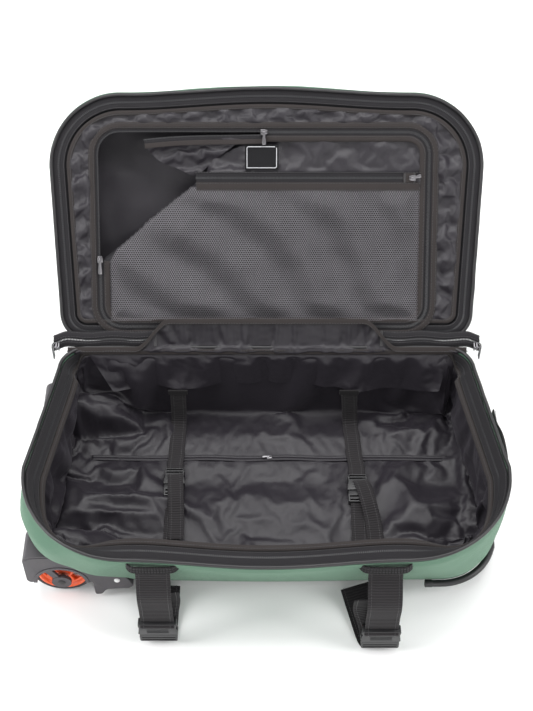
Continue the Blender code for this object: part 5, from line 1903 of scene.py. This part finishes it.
def inner_straps():
    top = 0.0561
    lie = top + 0.0065
    for side, x, buckle_s, tail_lean, rear_lean in (("left", -0.150, 0.178, 0.006, 0.004),
                                                    ("right", 0.148, 0.190, 0.022, -0.012)):
        name = "inner_strap_" + side
        y = HINGE_Y - buckle_s
        rear = [(x + rear_lean, HINGE_Y - 0.0420, 0.139), (x + rear_lean * 0.8, HINGE_Y - 0.0410, 0.105),
                (x + rear_lean * 0.6, HINGE_Y - 0.0480, top + 0.006),
                (x + rear_lean * 0.4, HINGE_Y - 0.0800, top + 0.0040),
                (x + rear_lean * 0.2, FLOOR_SEAM_Y, top + 0.0030), (x, y + 0.050, top + 0.0040),
                (x, y + 0.0300, lie), (x, y + 0.0255, lie)]
        strap = ribbon(name + "_rear_webbing", rear, 0.0248, WEBBING)
        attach(strap, "case")
        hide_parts(name + "_rear")
        front = [(x, y - 0.0185, lie), (x, y - 0.0240, lie), (x, y - 0.045, top + 0.0025),
                 (x, HINGE_Y - 0.290, top + 0.0010), (x, HINGE_Y - 0.318, top + 0.0020),
                 (x, HINGE_Y - 0.3320, 0.068), (x, HINGE_Y - 0.3420, 0.092)]
        webbing = ribbon(name + "_front_webbing", front, 0.0248, WEBBING)
        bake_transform(webbing)
        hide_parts(name + "_front")
        tail = [(x + tail_lean * 0.15, y + 0.0210, lie + 0.0040), (x + tail_lean * 0.35, y + 0.0080, lie + 0.0085),
                (x + tail_lean * 0.70, y - 0.0250, lie + 0.0080), (x + tail_lean, y - 0.0600, top + 0.0060),
                (x + tail_lean * 1.1, y - 0.1000, top + 0.0040)]
        loose = ribbon(name + "_tail", tail, 0.0245, WEBBING, across=(1.0, 0.06, 0.0))
        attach(loose, "case")
        tab = box(name + "_hem_tab", (x + rear_lean - 0.0160, HINGE_Y - 0.0445, 0.1300),
                  (x + rear_lean + 0.0160, HINGE_Y - 0.0415, 0.1410), WEBBING)
        ease(tab, 0.0008, 2)
        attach(tab, "case")
        socket, plug = buckle_parts("inner_buckle_" + side, 0.025, BLACK)
        for obj, body in ((socket, "case"), (plug, "inner_plug_" + side)):
            obj.location = (x, y, lie)
            obj.rotation_euler = (-math.pi / 2.0, 0.0, 0.0)
            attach(obj, body)
        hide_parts("inner_buckle_%s_socket" % side)
        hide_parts("inner_buckle_%s_plug" % side)


def floor_seam():
    """Sewn zip along the lining's floor, in folds that run into it."""
    y = FLOOR_SEAM_Y
    xs = np.linspace(-0.290, 0.300, 150)
    path = np.array([(x, y + 0.0010 * math.sin(x * 41.0), 0.0552 + 0.0006 * math.sin(x * 57.0)) for x in xs])
    flat = np.tile([0.0, 1.0, 0.0], (len(xs), 1))
    up = np.tile([0.0, 0.0, 1.0], (len(xs), 1))
    lips = strip_profile(0.0006, 0.0052, -0.0022, 0.0006, 0.0014)
    parts = [sweep("a", path, flat, up, [(-a, b) for a, b in reversed(lips)], LINING),
             sweep("b", path, flat, up, lips, LINING),
             sweep("c", path, flat, up, strip_profile(-0.0008, 0.0008, -0.0022, -0.0006), TAPE),
             beads("d", path, flat, up, STITCH, 0.0040, (0.0026, 0.0005, 0.0005), (-0.0040, 0.0006)),
             beads("e", path, flat, up, STITCH, 0.0040, (0.0026, 0.0005, 0.0005), (0.0040, 0.0006))]
    zipper = join("floor_zip_tape", parts)
    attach(zipper, "case")
    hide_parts("floor_zip")


# ---------------------------------------------------------------- sliders

# length, width and height
LID_SLIDER = (0.0105, 0.0085, 0.0048)
FLOOR_SLIDER = (0.0085, 0.0070, 0.0040)
MAIN_SLIDER = (0.0150, 0.0125, 0.0060)


def slider(name, node, body, along, face, hang, size, pull):
    """A zip slider on a CAD node's place. along is its run, face the way off the tape, hang its pull's way."""
    low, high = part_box(node)
    centre = np.array((low + high) / 2.0)
    along = np.array(along, float)
    face = np.array(face, float)
    across = unit(np.cross(face, along)[None])[0]
    long, wide, high_size = size
    shape = [(-0.50 * wide, -0.50 * long), (0.50 * wide, -0.50 * long), (0.50 * wide, 0.05 * long),
             (0.34 * wide, 0.50 * long), (0.12 * wide, 0.50 * long), (0.0, 0.36 * long), (-0.12 * wide, 0.50 * long),
             (-0.34 * wide, 0.50 * long), (-0.50 * wide, 0.05 * long)]
    parts = []
    for low_h, high_h in ((-0.5 * high_size, -0.18 * high_size), (0.18 * high_size, 0.5 * high_size)):
        parts.append(prism("plate", shape, low_h, high_h, GUNMETAL))
    parts.append(box("stem", (-0.12 * wide, -0.4 * high_size, 0.16 * long),
                     (0.12 * wide, 0.4 * high_size, 0.42 * long), GUNMETAL))
    bail = catmull([(0.0, 0.48 * high_size, -0.34 * long), (0.0, 0.95 * high_size, -0.20 * long),
                    (0.0, 0.95 * high_size, 0.16 * long), (0.0, 0.48 * high_size, 0.30 * long)], 5)
    bail_along = tangents(bail, False)
    bail_side = np.tile([1.0, 0.0, 0.0], (len(bail), 1))
    parts.append(sweep("bail", bail, bail_side, unit(np.cross(bail_side, bail_along)), round_profile(0.11 * wide, 8),
                       GUNMETAL))
    for part in parts[:3]:
        ease(part, 0.0004, 2, 40)
    obj = join(name, parts)
    smooth_by_angle(obj, 40.0)
    turn = Matrix([(across[k], face[k], along[k]) for k in range(3)])
    if turn.determinant() < 0:
        turn = Matrix([(-across[k], face[k], along[k]) for k in range(3)])
    obj.matrix_world = Matrix.Translation(Vector(centre)) @ turn.to_4x4()
    bpy.context.view_layer.update()
    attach(obj, body)
    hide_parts(node)
    if not pull:
        return obj
    hang = np.array(hang, float)
    wide_axis = unit(np.cross(face, hang)[None])[0]
    start = centre + face * (0.75 * high_size)
    length, width = pull
    rows = []
    for t, w in ((0.0, 0.45), (0.06, 0.75), (0.16, 0.80), (0.30, 0.62), (0.78, 1.0), (0.94, 1.0), (1.0, 0.8)):
        rows.append((t * length, w * width / 2.0))
    path = np.array([start + hang * t - face * (0.0008 * t / 0.03) for t, _ in rows])
    grid = []
    for k, (a, b) in enumerate(((-1, -0.5), (1, -0.5), (1, 0.5), (-1, 0.5))):
        grid.append(np.array([path[i] + wide_axis * a * rows[i][1] + face * b * 0.0016 for i in range(len(rows))]))
    tab = surface(name + "_pull", np.stack(grid), GUNMETAL, (True, False), False)
    recalc(tab)
    shape = bmesh.new()
    shape.from_mesh(tab.data)
    bmesh.ops.holes_fill(shape, edges=[edge for edge in shape.edges if edge.is_boundary])
    bmesh.ops.recalc_face_normals(shape, faces=shape.faces)
    shape.to_mesh(tab.data)
    shape.free()
    ease(tab, 0.0005, 2, 30, shade=40.0)
    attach(tab, body)
    return obj


def sliders():
    off_lid = lid_vectors([(0.0, 0.0, -1.0)])[0]
    down_lid = lid_vectors([(0.0, -1.0, 0.0)])[0]
    slider("panel_slider_left_body", "panel_slider_left", "panel_slider_left", -down_lid, off_lid, down_lid,
           LID_SLIDER, (0.024, 0.0062))
    slider("panel_slider_top_body", "panel_slider_top", "panel_slider_top", (1.0, 0.0, 0.0), off_lid, down_lid,
           LID_SLIDER, (0.020, 0.0062))
    slider("pocket_slider_body", "pocket_slider", "pocket_slider", (-1.0, 0.0, 0.0), off_lid, (0.94, 0.0, 0.34),
           LID_SLIDER, (0.014, 0.0055))
    slider("floor_slider_body", "floor_zip_slider", "floor_slider", (1.0, 0.0, 0.0), (0.0, 0.0, 1.0), (-1.0, 0.0, 0.0),
           FLOOR_SLIDER, (0.012, 0.0050))
    for side, sign in (("left", -1.0), ("right", 1.0)):
        slider("zip_slider_%s_body" % side, "zip_slider_" + side, "zip_slider_" + side, (0.0, -1.0, 0.0),
               (sign, 0.0, 0.0), (0.0, 0.0, -1.0), MAIN_SLIDER, None)
        low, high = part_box("zip_pull_" + side)
        middle = (low + high) / 2.0
        tab = box("zip_pull_%s_tab" % side, (middle.x - 0.0011, low.y + 0.0003, low.z),
                  (middle.x + 0.0011, high.y - 0.0003, high.z), GUNMETAL)
        boolean(tab, box("eye", (middle.x - 0.01, middle.y - 0.0022, high.z - 0.0065),
                         (middle.x + 0.01, middle.y + 0.0022, high.z - 0.0030), ZINC))
        boolean(tab, box("eye", (middle.x - 0.01, middle.y - 0.0022, low.z + 0.0035),
                         (middle.x + 0.01, middle.y + 0.0022, low.z + 0.0100), ZINC))
        ease(tab, 0.0006, 3, 30, shade=40.0)
        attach(tab, "zip_pull_" + side)
        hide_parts("zip_pull_" + side)


# ---------------------------------------------------------------- the whole scene

studio()
lining, tray = tub_lining()
flap = back_flap()
border = lid_border()
panel = lid_panel()
corner = loose_corner()
gusset = hinge_gusset()
simulate([lining, flap, border, panel, corner, gusset], [tray], 40)
for cloth in (lining, flap):
    finish_cloth(cloth, "case")
for cloth in (border, panel, corner):
    finish_cloth(cloth, "lid")
finish_cloth(gusset, None)
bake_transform(gusset)
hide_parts("tub_lining")
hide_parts("lid_border")
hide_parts("lid_panel")

tub_rim()
tub_shell()
lid_cavity()
lid_rim()
lid_shell()
panel_zip()
net = honeycomb()
pocket_zip()
label_patch()
for side in ("front", "rear"):
    wheel(side)
    housing(side)
end_guard()
grab_handle()
trolley_parts()
floor_seam()
outer_straps()
inner_straps()
sliders()
